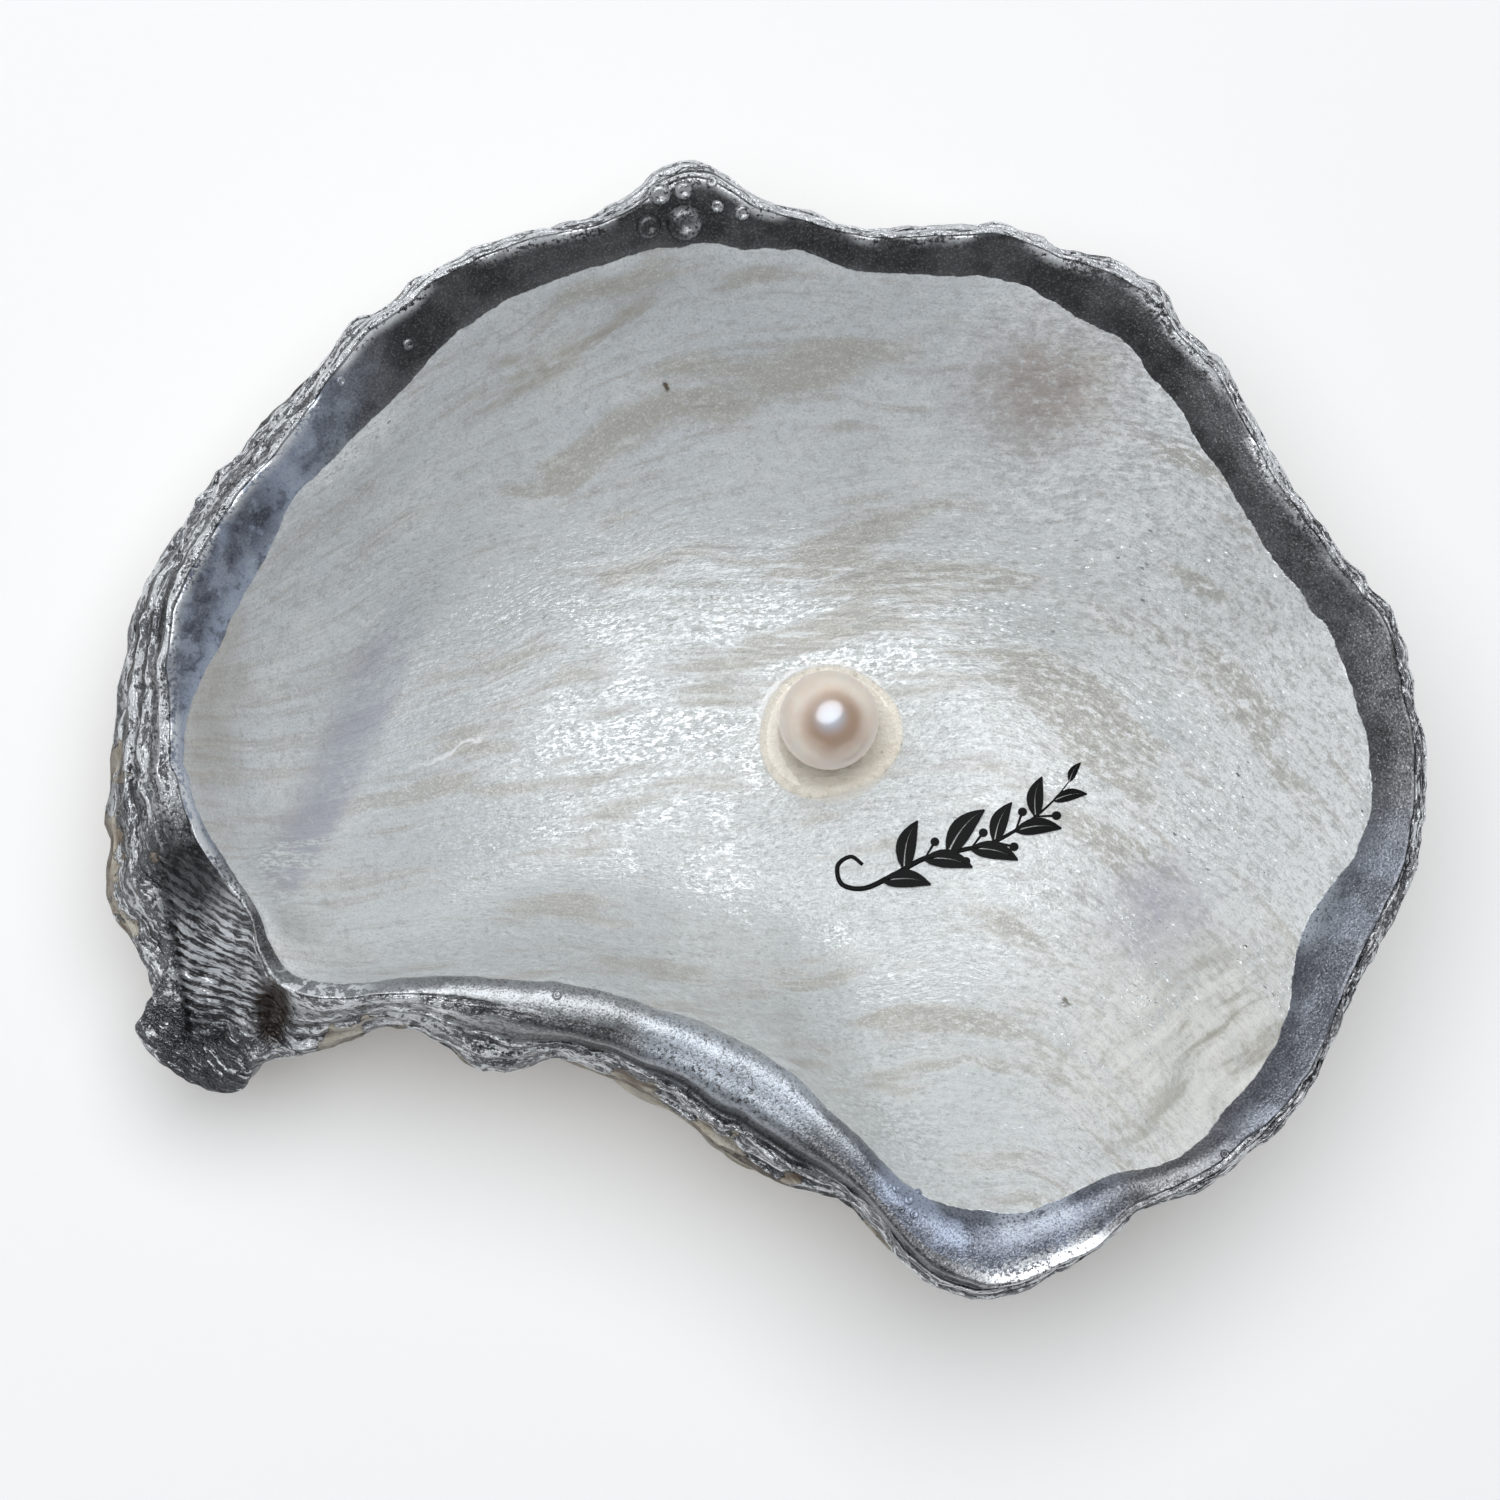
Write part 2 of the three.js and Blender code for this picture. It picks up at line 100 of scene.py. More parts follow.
# Stations round the shell, anticlockwise from the right, as in the solid, but with the lip at the left 1 mm
# further out: outline x y z, lip x y z, width of the shelf inside the lip, share of ligament, and the dip
# between lip and outline
OUTLINE, LIP, SHELF, LIGAMENT, DIP = slice(0, 3), slice(3, 6), 6, 7, 8
STATIONS = np.array([
    (47.4, 0.0, 21.8, 46.3, -0.1, 23.6, 3.0, 0, 0),
    (46.5, 5.1, 21.7, 45.5, 4.7, 23.4, 3.3, 0, 0),
    (45.3, 9.6, 21.5, 44.3, 8.9, 23.2, 3.5, 0, 0),
    (42.2, 12.6, 21.6, 41.4, 11.7, 23.4, 3.1, 0, 0),
    (40.2, 15.3, 21.8, 39.3, 14.5, 23.7, 3.1, 0, 0),
    (37.7, 18.5, 22.1, 36.8, 17.7, 24.1, 2.7, 0, 0),
    (36.3, 21.1, 22.2, 35.3, 20.5, 24.2, 2.9, 0, 0),
    (34.4, 24.3, 22.1, 33.4, 23.7, 24.0, 3.3, 0, 0),
    (32.9, 27.5, 21.9, 32.0, 26.6, 23.8, 3.5, 0, 0),
    (30.0, 30.2, 21.9, 29.3, 29.3, 23.7, 3.1, 0, 0),
    (28.5, 32.6, 22.0, 27.6, 31.6, 23.8, 3.3, 0, 0),
    (25.3, 34.5, 22.1, 24.7, 33.3, 24.0, 3.6, 0, 0),
    (20.8, 35.7, 22.1, 20.4, 34.6, 24.1, 2.7, 0, 0),
    (16.7, 37.0, 22.2, 16.4, 35.9, 24.2, 3.0, 0, 0),
    (11.2, 36.7, 22.1, 11.0, 35.7, 24.1, 2.7, 0, 0),
    (6.6, 36.5, 22.2, 6.5, 35.6, 24.2, 2.4, 0, 0),
    (2.7, 37.6, 22.5, 2.4, 36.5, 24.6, 2.1, 0, 0),
    (-1.3, 38.4, 22.8, -1.5, 37.3, 25.1, 2.9, 0, 0),
    (-3.3, 39.9, 23.0, -3.5, 38.5, 25.6, 4.1, 0, 0),
    (-6.1, 40.8, 23.0, -6.0, 39.3, 25.8, 4.4, 0, 0),
    (-8.7, 40.3, 22.9, -8.2, 38.7, 25.6, 4.2, 0, 0),
    (-10.3, 38.6, 22.7, -10.0, 37.4, 25.1, 3.1, 0, 0),
    (-14.0, 36.8, 22.2, -13.4, 35.8, 24.6, 2.5, 0, 0),
    (-18.5, 35.8, 21.8, -18.0, 34.8, 24.3, 3.1, 0, 0),
    (-22.6, 34.2, 21.4, -22.0, 33.2, 24.0, 3.3, 0, 0),
    (-25.7, 32.4, 20.8, -24.9, 31.5, 23.7, 3.7, 0, 0),
    (-27.7, 30.6, 20.2, -27.0, 29.6, 23.5, 3.9, 0, 0),
    (-31.0, 28.8, 19.4, -29.8, 27.7, 23.3, 4.7, 0, 0),
    (-32.8, 25.9, 18.3, -31.7, 25.1, 23.2, 4.3, 0, 0),
    (-35.8, 23.1, 17.0, -33.7, 22.1, 23.1, 3.4, 0, 0),
    (-39.0, 19.8, 15.9, -36.1, 18.9, 23.0, 3.0, 0, 0),
    (-41.8, 16.1, 15.0, -38.9, 15.6, 22.9, 3.6, 0, 0),
    (-44.1, 12.3, 14.4, -40.9, 12.0, 22.7, 3.9, 0, 0),
    (-45.9, 7.8, 13.9, -42.8, 7.9, 22.5, 3.9, 0, 0),
    (-46.9, 3.3, 13.5, -43.4, 4.0, 22.4, 2.9, 0, 0),
    (-47.3, -1.2, 13.2, -43.0, 0.6, 22.2, 1.4, 0, 0),
    (-47.4, -5.4, 12.9, -42.9, -2.4, 22.0, 1.0, 0, -0.2),
    (-47.4, -9.4, 12.6, -42.2, -4.9, 21.6, 0.8, 0.1, -0.6),
    (-47.3, -12.4, 12.1, -41.6, -6.9, 21.3, 0.8, 0.4, -0.9),
    (-45.3, -15.6, 11.7, -40.8, -8.6, 21.0, 0.8, 0.8, -0.6),
    (-44.1, -18.8, 11.5, -39.9, -10.0, 20.7, 0.8, 1, 0.7),
    (-45.2, -21.4, 11.2, -39.0, -11.2, 20.4, 0.8, 1, 2.0),
    (-42.6, -24.3, 10.9, -38.3, -12.1, 20.2, 0.8, 1, 2.4),
    (-40.4, -25.5, 10.7, -37.7, -12.9, 20.1, 0.8, 1, 1.8),
    (-38.0, -25.7, 10.8, -37.1, -13.9, 20.1, 0.9, 1, 0.4),
    (-36.4, -23.9, 11.3, -36.7, -15.6, 20.3, 1.0, 0.6, 0.8),
    (-34.6, -23.2, 12.2, -35.8, -17.7, 20.7, 1.3, 0.2, 2.0),
    (-32.0, -22.9, 12.9, -34.0, -19.2, 21.3, 1.8, 0, 1.2),
    (-29.2, -21.9, 14.0, -30.8, -19.6, 22.0, 2.1, 0, 0.3),
    (-26.6, -21.2, 14.8, -27.4, -19.3, 22.6, 2.1, 0, 0),
    (-23.4, -22.3, 15.2, -24.0, -19.3, 23.0, 2.1, 0, 0),
    (-20.6, -24.0, 15.4, -20.8, -19.6, 23.2, 2.2, 0, 0),
    (-17.8, -24.3, 15.5, -17.9, -20.2, 23.3, 2.5, 0, 0),
    (-15.2, -23.5, 15.7, -14.9, -20.9, 23.4, 2.7, 0, 0),
    (-11.5, -24.7, 15.8, -11.2, -21.9, 23.4, 2.4, 0, 0),
    (-7.2, -26.8, 15.8, -7.0, -23.2, 23.4, 2.3, 0, 0),
    (-3.4, -29.6, 15.9, -2.8, -25.1, 23.3, 2.6, 0, 0),
    (0.6, -32.2, 16.2, 1.2, -27.6, 23.2, 2.8, 0, 0),
    (4.4, -33.1, 16.8, 4.2, -30.2, 23.0, 2.6, 0, 0),
    (7.6, -35.3, 17.4, 7.0, -33.0, 22.8, 3.0, 0, 0),
    (9.6, -37.8, 18.0, 9.6, -35.9, 22.6, 3.6, 0, 0),
    (12.2, -40.0, 18.6, 12.6, -37.9, 22.5, 4.0, 0, 0),
    (16.0, -40.6, 19.2, 16.0, -38.8, 22.5, 4.2, 0, 0),
    (19.8, -39.3, 19.8, 19.4, -37.9, 22.6, 3.6, 0, 0),
    (23.2, -37.6, 20.4, 22.6, -36.5, 22.8, 3.4, 0, 0),
    (26.2, -34.7, 21.0, 25.5, -34.0, 23.0, 2.4, 0, 0),
    (29.6, -33.4, 21.3, 29.1, -32.5, 23.1, 1.8, 0, 0),
    (33.0, -31.3, 21.5, 32.4, -30.5, 23.2, 1.8, 0, 0),
    (36.3, -28.6, 21.6, 35.6, -27.9, 23.2, 2.4, 0, 0),
    (39.0, -25.7, 21.6, 38.2, -25.2, 23.2, 2.7, 0, 0),
    (41.2, -21.1, 21.6, 40.4, -20.8, 23.2, 3.2, 0, 0),
    (43.5, -16.1, 21.6, 42.6, -15.7, 23.2, 3.3, 0, 0),
    (46.2, -11.3, 21.6, 45.1, -10.9, 23.3, 3.4, 0, 0),
    (47.7, -6.2, 21.7, 46.5, -5.9, 23.5, 2.9, 0, 0),
])


# What turns whole numbers into values that look like chance, and stay the same in every run
SCATTER_STEPS = np.array([127.1, 311.7, 74.7])
SCATTER_SEED_STEP = 26.95
SCATTER_SPREAD = 43758.5453


def scatter(index, seed):
    """A fixed value from 0 to 1 for whole numbers and a seed."""
    value = np.sin(index * SCATTER_STEPS[0] + seed * SCATTER_STEPS[1]) * SCATTER_SPREAD
    return value - np.floor(value)


def waver(turn, waves, seed):
    """Smooth noise from -1 to 1 round the shell, with a number of waves."""
    place = (turn - np.floor(turn)) * waves
    index = np.floor(place)
    along = place - index
    eased = along * along * (3 - 2 * along)
    before = scatter(index % waves, seed)
    after = scatter((index + 1) % waves, seed)
    return 2 * (before + (after - before) * eased) - 1


def lumps(points, size, seed):
    """Smooth noise from -1 to 1 in space, with lumps of a size in millimetres."""
    scaled = points / size
    cell = np.floor(scaled)
    share = scaled - cell
    eased = share * share * (3 - 2 * share)
    total = np.zeros(points.shape[:-1])
    for corner in itertools.product((0, 1), repeat=3):
        corner = np.array(corner)
        weight = np.prod(np.where(corner == 1, eased, 1 - eased), axis=-1)
        value = np.sin((cell + corner) @ SCATTER_STEPS + seed * SCATTER_SEED_STEP) * SCATTER_SPREAD
        total += weight * (value - np.floor(value))
    return 2 * total - 1


def mix(a, b, share):
    """From a, at a share of 0, to b, at a share of 1."""
    return a + (b - a) * share


def ease(value, low, high):
    """0 at low, 1 at high and beyond, smooth between."""
    share = np.clip((value - low) / (high - low), 0, 1)
    return share * share * (3 - 2 * share)


def fading(way, start, length):
    """A hump along a route, which takes a length of a half wave from a start on it."""
    return np.sin(np.pi * np.clip(start + length * way, 0, 1))


def summed(noise, place, *layers, base=0.0):
    """Layers of noise over a base: the height of each, its size or its number of waves, and its seed."""
    return sum((height * noise(place, size, seed) for height, size, seed in layers), base)


def column(values):
    """Makes one value per column ready to multiply points."""
    return np.asarray(values)[:, None]


def smooth_min(a, b, width):
    """The lower of two heights, rounded over a width where they cross."""
    share = np.clip(0.5 + 0.5 * (b - a) / width, 0, 1)
    return mix(b, a, share) - width * share * (1 - share)


def catmull_rom(p0, p1, p2, p3, t):
    """A point between p1 and p2 on the smooth curve through four points."""
    return p1 + 0.5 * t * (p2 - p0 + t * (2 * p0 - 5 * p1 + 4 * p2 - p3 + t * (3 * (p1 - p2) + p3 - p0)))


def stations_at(place):
    """The station values at places on the closed smooth curve through the stations."""
    index = np.floor(place).astype(int)
    neighbours = (STATIONS[(index + step) % len(STATIONS)] for step in (-1, 0, 1, 2))
    return catmull_rom(*neighbours, column(place - index))


def measure_round():
    """The places sampled round the shell, and the share of the way round at each."""
    places = np.arange(len(STATIONS) * SAMPLES_PER_STATION + 1) / SAMPLES_PER_STATION
    rows = stations_at(places)
    outline, lip = (np.linalg.norm(np.diff(rows[:, part][:, :2], axis=0), axis=1) for part in (OUTLINE, LIP))
    travelled = np.concatenate([[0], np.cumsum((outline + lip) / 2)])
    return places, travelled / travelled[-1]


def column_turns():
    """Where the columns stand, as shares of the way round: closest at the hinge."""
    places, turns = measure_round()
    density = 1 + HINGE_DETAIL * np.clip(stations_at(places)[:, LIGAMENT], 0, 1)
    steps = np.diff(turns) * (density[1:] + density[:-1]) / 2
    travelled = np.concatenate([[0], np.cumsum(steps)])
    wanted = np.arange(COLUMNS) / COLUMNS * travelled[-1]
    return np.interp(wanted, travelled, turns), np.interp(wanted, travelled, places)


class Sections:
    """Every section of the shell, one value or point per column."""

    def __init__(self):
        self.turn, places = column_turns()
        rows = stations_at(places)
        self.ligament = np.clip(rows[:, LIGAMENT], 0, 1)
        self.dip = rows[:, DIP]
        self.shelf = np.maximum(rows[:, SHELF], LEAST_SHELF)
        centre = np.array([FLOOR_X, FLOOR_Y])
        spokes = rows[:, LIP][:, :2] - centre
        self.out = spokes / column(np.linalg.norm(spokes, axis=1))
        self.outline, self.lip = self.crinkled(rows[:, OUTLINE], rows[:, LIP])
        self.floor_edge = centre + self.out * [FLOOR_HALF_LENGTH, FLOOR_HALF_WIDTH]
        self.reach = np.linalg.norm(self.lip[:, :2] - self.floor_edge, axis=1)
        along_x, along_y = self.out.T
        # 1 where the front edge turns in and the lip is a smooth roll
        self.front = ease(-along_y, 0.25, 0.75) * ease(0.9 - np.abs(along_x + 0.1), 0, 0.4)
        self.slope = mix(SHELF_SLOPE, FRONT_SLOPE, self.front)
        self.bowl_power = BOWL_CURVE[0] - BOWL_CURVE[1] * along_x - BOWL_CURVE[2] * along_y
        self.belly_power = BELLY_CURVE[0] - BELLY_CURVE[1] * along_x - BELLY_CURVE[2] * along_y

    def crinkled(self, outline, lip):
        """Adds the fine crinkles of a shell's margin to the outline and the lip."""
        turn, free = self.turn, 1 - self.ligament
        ragged = free * summed(waver, turn, (0.16, 83, 101), (0.12, 197, 102), (0.07, 331, 103))
        wavy = free * summed(waver, turn, (0.14, 61, 104), (0.06, 149, 105))
        outline, lip = outline.copy(), lip.copy()
        outline[:, :2] += self.out * column(ragged)
        outline[:, 2] += 0.6 * wavy
        lip[:, :2] += self.out * column(0.7 * ragged + 0.06 * waver(turn, 120, 106))
        lip[:, 2] += wavy
        return outline, lip


def bowl_points(s, inward):
    """Points on the inside, at distances in from the lip towards the edge of the floor."""
    inward = np.broadcast_to(inward, s.turn.shape)
    shelf_z = s.lip[:, 2] - s.slope * inward
    wall_top = s.lip[:, 2] - s.slope * s.shelf
    rise = np.clip((s.reach - inward) / (s.reach - s.shelf), 0, None)
    fold = FOLD_DEPTH * waver(s.turn, 11, 3) * 4 * rise * np.maximum(0, 1 - rise)
    wall_z = FLOOR_Z + (wall_top - FLOOR_Z) * rise ** s.bowl_power + fold
    z = np.where(rise < 0.6, wall_z, smooth_min(shelf_z, wall_z, SHELF_ROUNDING))
    plan = mix(s.lip[:, :2], s.floor_edge, column(inward / s.reach))
    return np.column_stack([plan, z])


def terrace_shares(s):
    """How far out the edges and feet of the laminae lie. They wander, and may join but not cross."""
    shares = []
    for row, (way, _) in enumerate(TERRACES):
        seed = 20 + 5 * (row // 2)
        ragged = summed(waver, s.turn, (0.07, 31, seed), (0.045, 97, seed + 1), (0.025, 223, seed + 2))
        share = mix(way, ROLL_SHARE + (1 - ROLL_SHARE) * way, s.front) + (1 - s.ligament) * ragged
        least = shares[-1] + LEAST_TREAD if shares else 0.05
        most = 1 - LEAST_TREAD * (len(TERRACES) - row)
        shares.append(np.minimum(np.maximum(share, least), most))
    return shares


def terrace_points(s, share, fall):
    """Points between the lip and the outline, where the edges of the laminae show."""
    drop = mix(mix(fall, ROLL_FALL + (1 - ROLL_FALL) * fall, s.front), share, s.ligament)
    sag = s.dip * np.sin(np.pi * np.clip(share / TROUGH_END, 0, 1)) ** 0.8
    plan = mix(s.lip[:, :2], s.outline[:, :2], column(share))
    return np.column_stack([plan, mix(s.lip[:, 2], s.outline[:, 2], drop) - sag])


def belly_points(s, share, proud):
    """Points on the belly: share 1 is on the outline, 0 on the scar, and proud is how far they stand out."""
    share = np.broadcast_to(share, s.turn.shape)
    scar = np.array([SCAR_X, SCAR_Y]) + s.out * [SCAR_HALF_LENGTH, SCAR_HALF_WIDTH]
    ends = np.clip(3 * share, 0, 1) * np.clip(6 * (1 - share), 0, 1)
    rib = RIB_HEIGHT * (0.5 + 0.5 * waver(s.turn, 34, 8)) * ends
    fine_rib = FINE_RIB_HEIGHT * waver(s.turn, 113, 9) * ends
    lift = proud + rib + fine_rib
    lean = 0.35 + 0.9 * (1 - share)
    blunt = BEAK_THICKNESS * s.ligament * share * np.clip(14 * (1 - share), 0, 1)
    height = s.outline[:, 2] * share ** s.belly_power - np.sin(lean) * lift - blunt
    plan = mix(scar, s.outline[:, :2], column(share)) + s.out * column(np.cos(lean) * lift)
    return np.column_stack([plan, np.maximum(height, 0.12 * np.clip(8 * share, 0, 1))])


# Laminae between the lip and the outline, edges and feet in turn: share of the way out, share of the way down
TERRACES = ((0.16, 0.05), (0.3, 0.2), (0.47, 0.26), (0.54, 0.46), (0.7, 0.52), (0.78, 0.74), (0.94, 0.8))
ROLL_SHARE, ROLL_FALL = 0.36, 0.2  # of the smooth roll on the front: how far out and down it reaches
ROLL_BULGE = 0.5  # how far the roll stands out over a straight tread
LEAST_TREAD = 0.03
ROLL_STEPS = (0.1, 0.22, 0.34, 0.47, 0.6, 0.73, 0.87, 1.0)  # the first tread, which is wide on the front
TREAD_STEPS = (0.3, 0.6, 0.85, 1.0)
RISER_STEPS = (0.15, 0.5, 0.85)
EDGE_CURL = 0.14
SIDE_DEPTH = 0.1  # the mark for how far down a place lies: below 0 above the outline, above 0 on the belly
UNDERCUT = 0.28

# Laminae on the belly: the place of each free edge, from outline (1) to scar (0), and how far it stands out
BELLY_LAYERS = (
    (0.93, 1.2), (0.83, 1.2), (0.73, 1.4), (0.62, 1.1), (0.51, 1.2), (0.4, 0.9), (0.29, 0.8), (0.18, 0.5),
)
TREAD = 0.012
# Rows of one belly lamina at its free edge: offset in treads, share of how far it stands out, crevice, edge
BELLY_EDGE = (
    (1.3, 0.0, 1.0, 0.0),
    (0.5, 0.35, 0.8, 0.0),
    (0.8, 0.95, 0.0, 1.0),
    (0.0, 1.04, 0.0, 0.7),
    (-1.0, 0.98, 0.0, 0.0),
)
BELLY_STEPS = (0.3, 0.6, 0.85)
BEFORE_SCAR_STEPS = (0.4, 0.75, 1.0)
SCAR_STEPS = (0.66, 0.33)

# Marks that the growing shell left in the bowl, as routes in plan
CREASE = ((-34.2, -12.4), (-33.2, -10.4), (-29.1, -3.0), (-26.1, 5.1), (-23.4, 9.4), (-18.5, 13.0))
MUSCLE_SCAR = ((26.0, -8.0), (27.3, -12.0), (28.1, -16.0), (28.0, -19.5), (26.2, -23.2))
TROUGH = ((-41.3, -8.2), (-40.3, -12.5), (-39.3, -17.0), (-38.4, -22.3))
TROUGH_HALF_WIDTH = 2.8
POCKET_X, POCKET_Y, POCKET_RADIUS = -35.5, -20.2, 1.6
RIM_RADIUS = 46.0  # of a circle as long as the rim
HINGE_STEP = ((-36.0, -11.9), (-35.6, -14.0), (-34.0, -15.3), (-31.5, -15.6))
CREASE_DEPTH, CREASE_OFFSET, CREASE_WIDTH = 0.45, 1.2, 2.6
MUSCLE_SCAR_DEPTH = 0.34
HINGE_STEP_HEIGHT = 0.3
TROUGH_DEPTH, GROOVE_DEPTH, GROOVE_WIDTH, POCKET_DEPTH = 0.5, 0.35, 0.35, 0.5
ROLL_CREST = 0.4  # how far the thick silver stands up on the front roll


class Rows:
    """Rows of points that become the skin of the shell, with the marks that its material reads."""

    def __init__(self):
        self.points = []
        self.marks = {name: [] for name in ("inward", "outer", "crevice", "edge")}

    def add(self, points, **marks):
        self.points.append(points)
        for name, values in self.marks.items():
            values.append(np.broadcast_to(marks.get(name, 0.0), len(points)))


def add_bowl(rows, s):
    """Rows from the middle of the floor up the wall and over the shelf to the lip."""
    centre = np.array([FLOOR_X, FLOOR_Y])
    for share in FLOOR_SHARES:
        plan = mix(centre, s.floor_edge, share)
        floor = np.column_stack([plan, np.full(COLUMNS, FLOOR_Z)])
        rows.add(floor, inward=s.reach + 2 + 10 * (1 - share), outer=-SIDE_DEPTH)
    for share in np.linspace(0, 1, WALL_ROWS):
        inward = mix(s.reach, s.shelf + WALL_ENDS, share)
        rows.add(bowl_points(s, inward), inward=inward, outer=-SIDE_DEPTH)
    for share in np.linspace(1, 0, SHELF_ROWS):
        inward = (s.shelf + SHELF_STARTS) * share ** 0.9
        rows.add(bowl_points(s, inward), inward=inward, outer=-SIDE_DEPTH)


def add_terraces(rows, s):
    """Rows from the lip out over the laminae: a tread to each free edge and a riser under it."""
    shares = terrace_shares(s)
    controls = [terrace_points(s, share, fall) for share, (_, fall) in zip(shares, TERRACES)]
    controls = [s.lip, *controls, s.outline]
    free = 1 - s.ligament
    steep = np.clip((s.lip[:, 2] - s.outline[:, 2]) / 6, 0.12, 1) * free
    ways = [0, *[way for way, _ in TERRACES], 1]
    for i in range(0, len(controls) - 1, 2):
        foot, edge, next_foot = controls[i:i + 3]
        bold = np.clip(0.6 + 0.7 * waver(s.turn, 26, 300 + i), 0.05, 1.3)
        for t in (ROLL_STEPS if i == 0 else TREAD_STEPS):
            points = mix(foot, edge, t)
            points[:, 2] += EDGE_CURL * bold * steep * t ** 2
            if i == 0:
                bulge = ROLL_BULGE * s.front * np.sin(np.pi * t)
                points += np.column_stack([s.out, np.ones(COLUMNS)]) * column(bulge)
            depth = SIDE_DEPTH * (mix(ways[i], ways[i + 1], t) - 1)
            rows.add(points, inward=-1, outer=depth, edge=free * bold * t ** 3)
        for t in RISER_STEPS:
            points = mix(edge, next_foot, t)
            points[:, :2] -= s.out * column(UNDERCUT * bold * steep * np.sin(np.pi * min(1, 1.3 * t)))
            depth = SIDE_DEPTH * (mix(ways[i + 1], ways[i + 2], t) - 1)
            rows.add(points, inward=-1, outer=depth, crevice=free * bold * t)
    rows.add(s.outline, inward=-1, edge=0.8 * free)


def add_belly(rows, s):
    """Rows from the outline under the shell to the middle of the scar that it stands on."""
    last_share, last_proud = np.ones(COLUMNS), np.zeros(COLUMNS)
    for layer, (edge, proud) in enumerate(BELLY_LAYERS):
        share = edge + 0.025 * waver(s.turn, 24, 40 + layer) + 0.004 * waver(s.turn, 151, 80 + layer)
        bold = 0.6 + 0.4 * waver(s.turn, 17, 60 + layer)
        height = proud * bold * (1 + 0.2 * waver(s.turn, 97, 70 + layer))
        first = share + BELLY_EDGE[0][0] * TREAD
        for t in BELLY_STEPS:
            way = mix(last_share, first, t)
            rows.add(belly_points(s, way, last_proud * (1 - t)), inward=-1, outer=1 - way)
        for offset, stands, crevice, free_edge in BELLY_EDGE:
            way = share + offset * TREAD
            points = belly_points(s, way, height * stands)
            rows.add(points, inward=-1, outer=1 - way, crevice=crevice, edge=free_edge)
        last_share, last_proud = share - TREAD, height
    for t in BEFORE_SCAR_STEPS:
        way = last_share * (1 - t)
        rows.add(belly_points(s, way, last_proud * (1 - t)), inward=-1, outer=1 - way)
    scar_centre = np.array([SCAR_X, SCAR_Y, 0.0])
    scar_edge = rows.points[-1]
    for share in SCAR_STEPS:
        rows.add(mix(scar_centre, scar_edge, share), inward=-1, outer=1)


def sampled(route, steps=24):
    """A smooth line through a route's points."""
    points = np.array(route, float)
    ends = np.vstack([2 * points[0] - points[1], points, 2 * points[-1] - points[-2]])
    line = []
    for p0, p1, p2, p3 in zip(ends, ends[1:], ends[2:], ends[3:]):
        line += [catmull_rom(p0, p1, p2, p3, t) for t in np.arange(steps) / steps]
    return np.array(line + [points[-1]])


def beside(plan, route):
    """How far points lie to the left of a route (below 0 to its right), and how far along it, from 0 to 1."""
    line = sampled(route)
    heading = np.gradient(line, axis=0)
    heading /= np.linalg.norm(heading, axis=1)[:, None]
    flat = plan.reshape(-1, 2)
    nearest = np.empty(len(flat), int)
    for start in range(0, len(flat), POINTS_AT_ONCE):
        block = flat[start:start + POINTS_AT_ONCE, None, :] - line[None]
        nearest[start:start + POINTS_AT_ONCE] = np.argmin((block ** 2).sum(axis=2), axis=1)
    offset = flat - line[nearest]
    along = heading[nearest]
    side = along[:, 0] * offset[:, 1] - along[:, 1] * offset[:, 0]
    signed = np.sign(side) * np.linalg.norm(offset, axis=1)
    return signed.reshape(plan.shape[:-1]), (nearest / (len(line) - 1)).reshape(plan.shape[:-1])


def skin_normals(grid):
    """Which way the skin faces at each point of the grid."""
    across = np.gradient(grid, axis=0)
    ahead, behind = np.roll(grid, -1, axis=1), np.roll(grid, 1, axis=1)
    normals = np.cross(across, ahead - behind)
    return normals / np.maximum(np.linalg.norm(normals, axis=-1, keepdims=True), 1e-9)


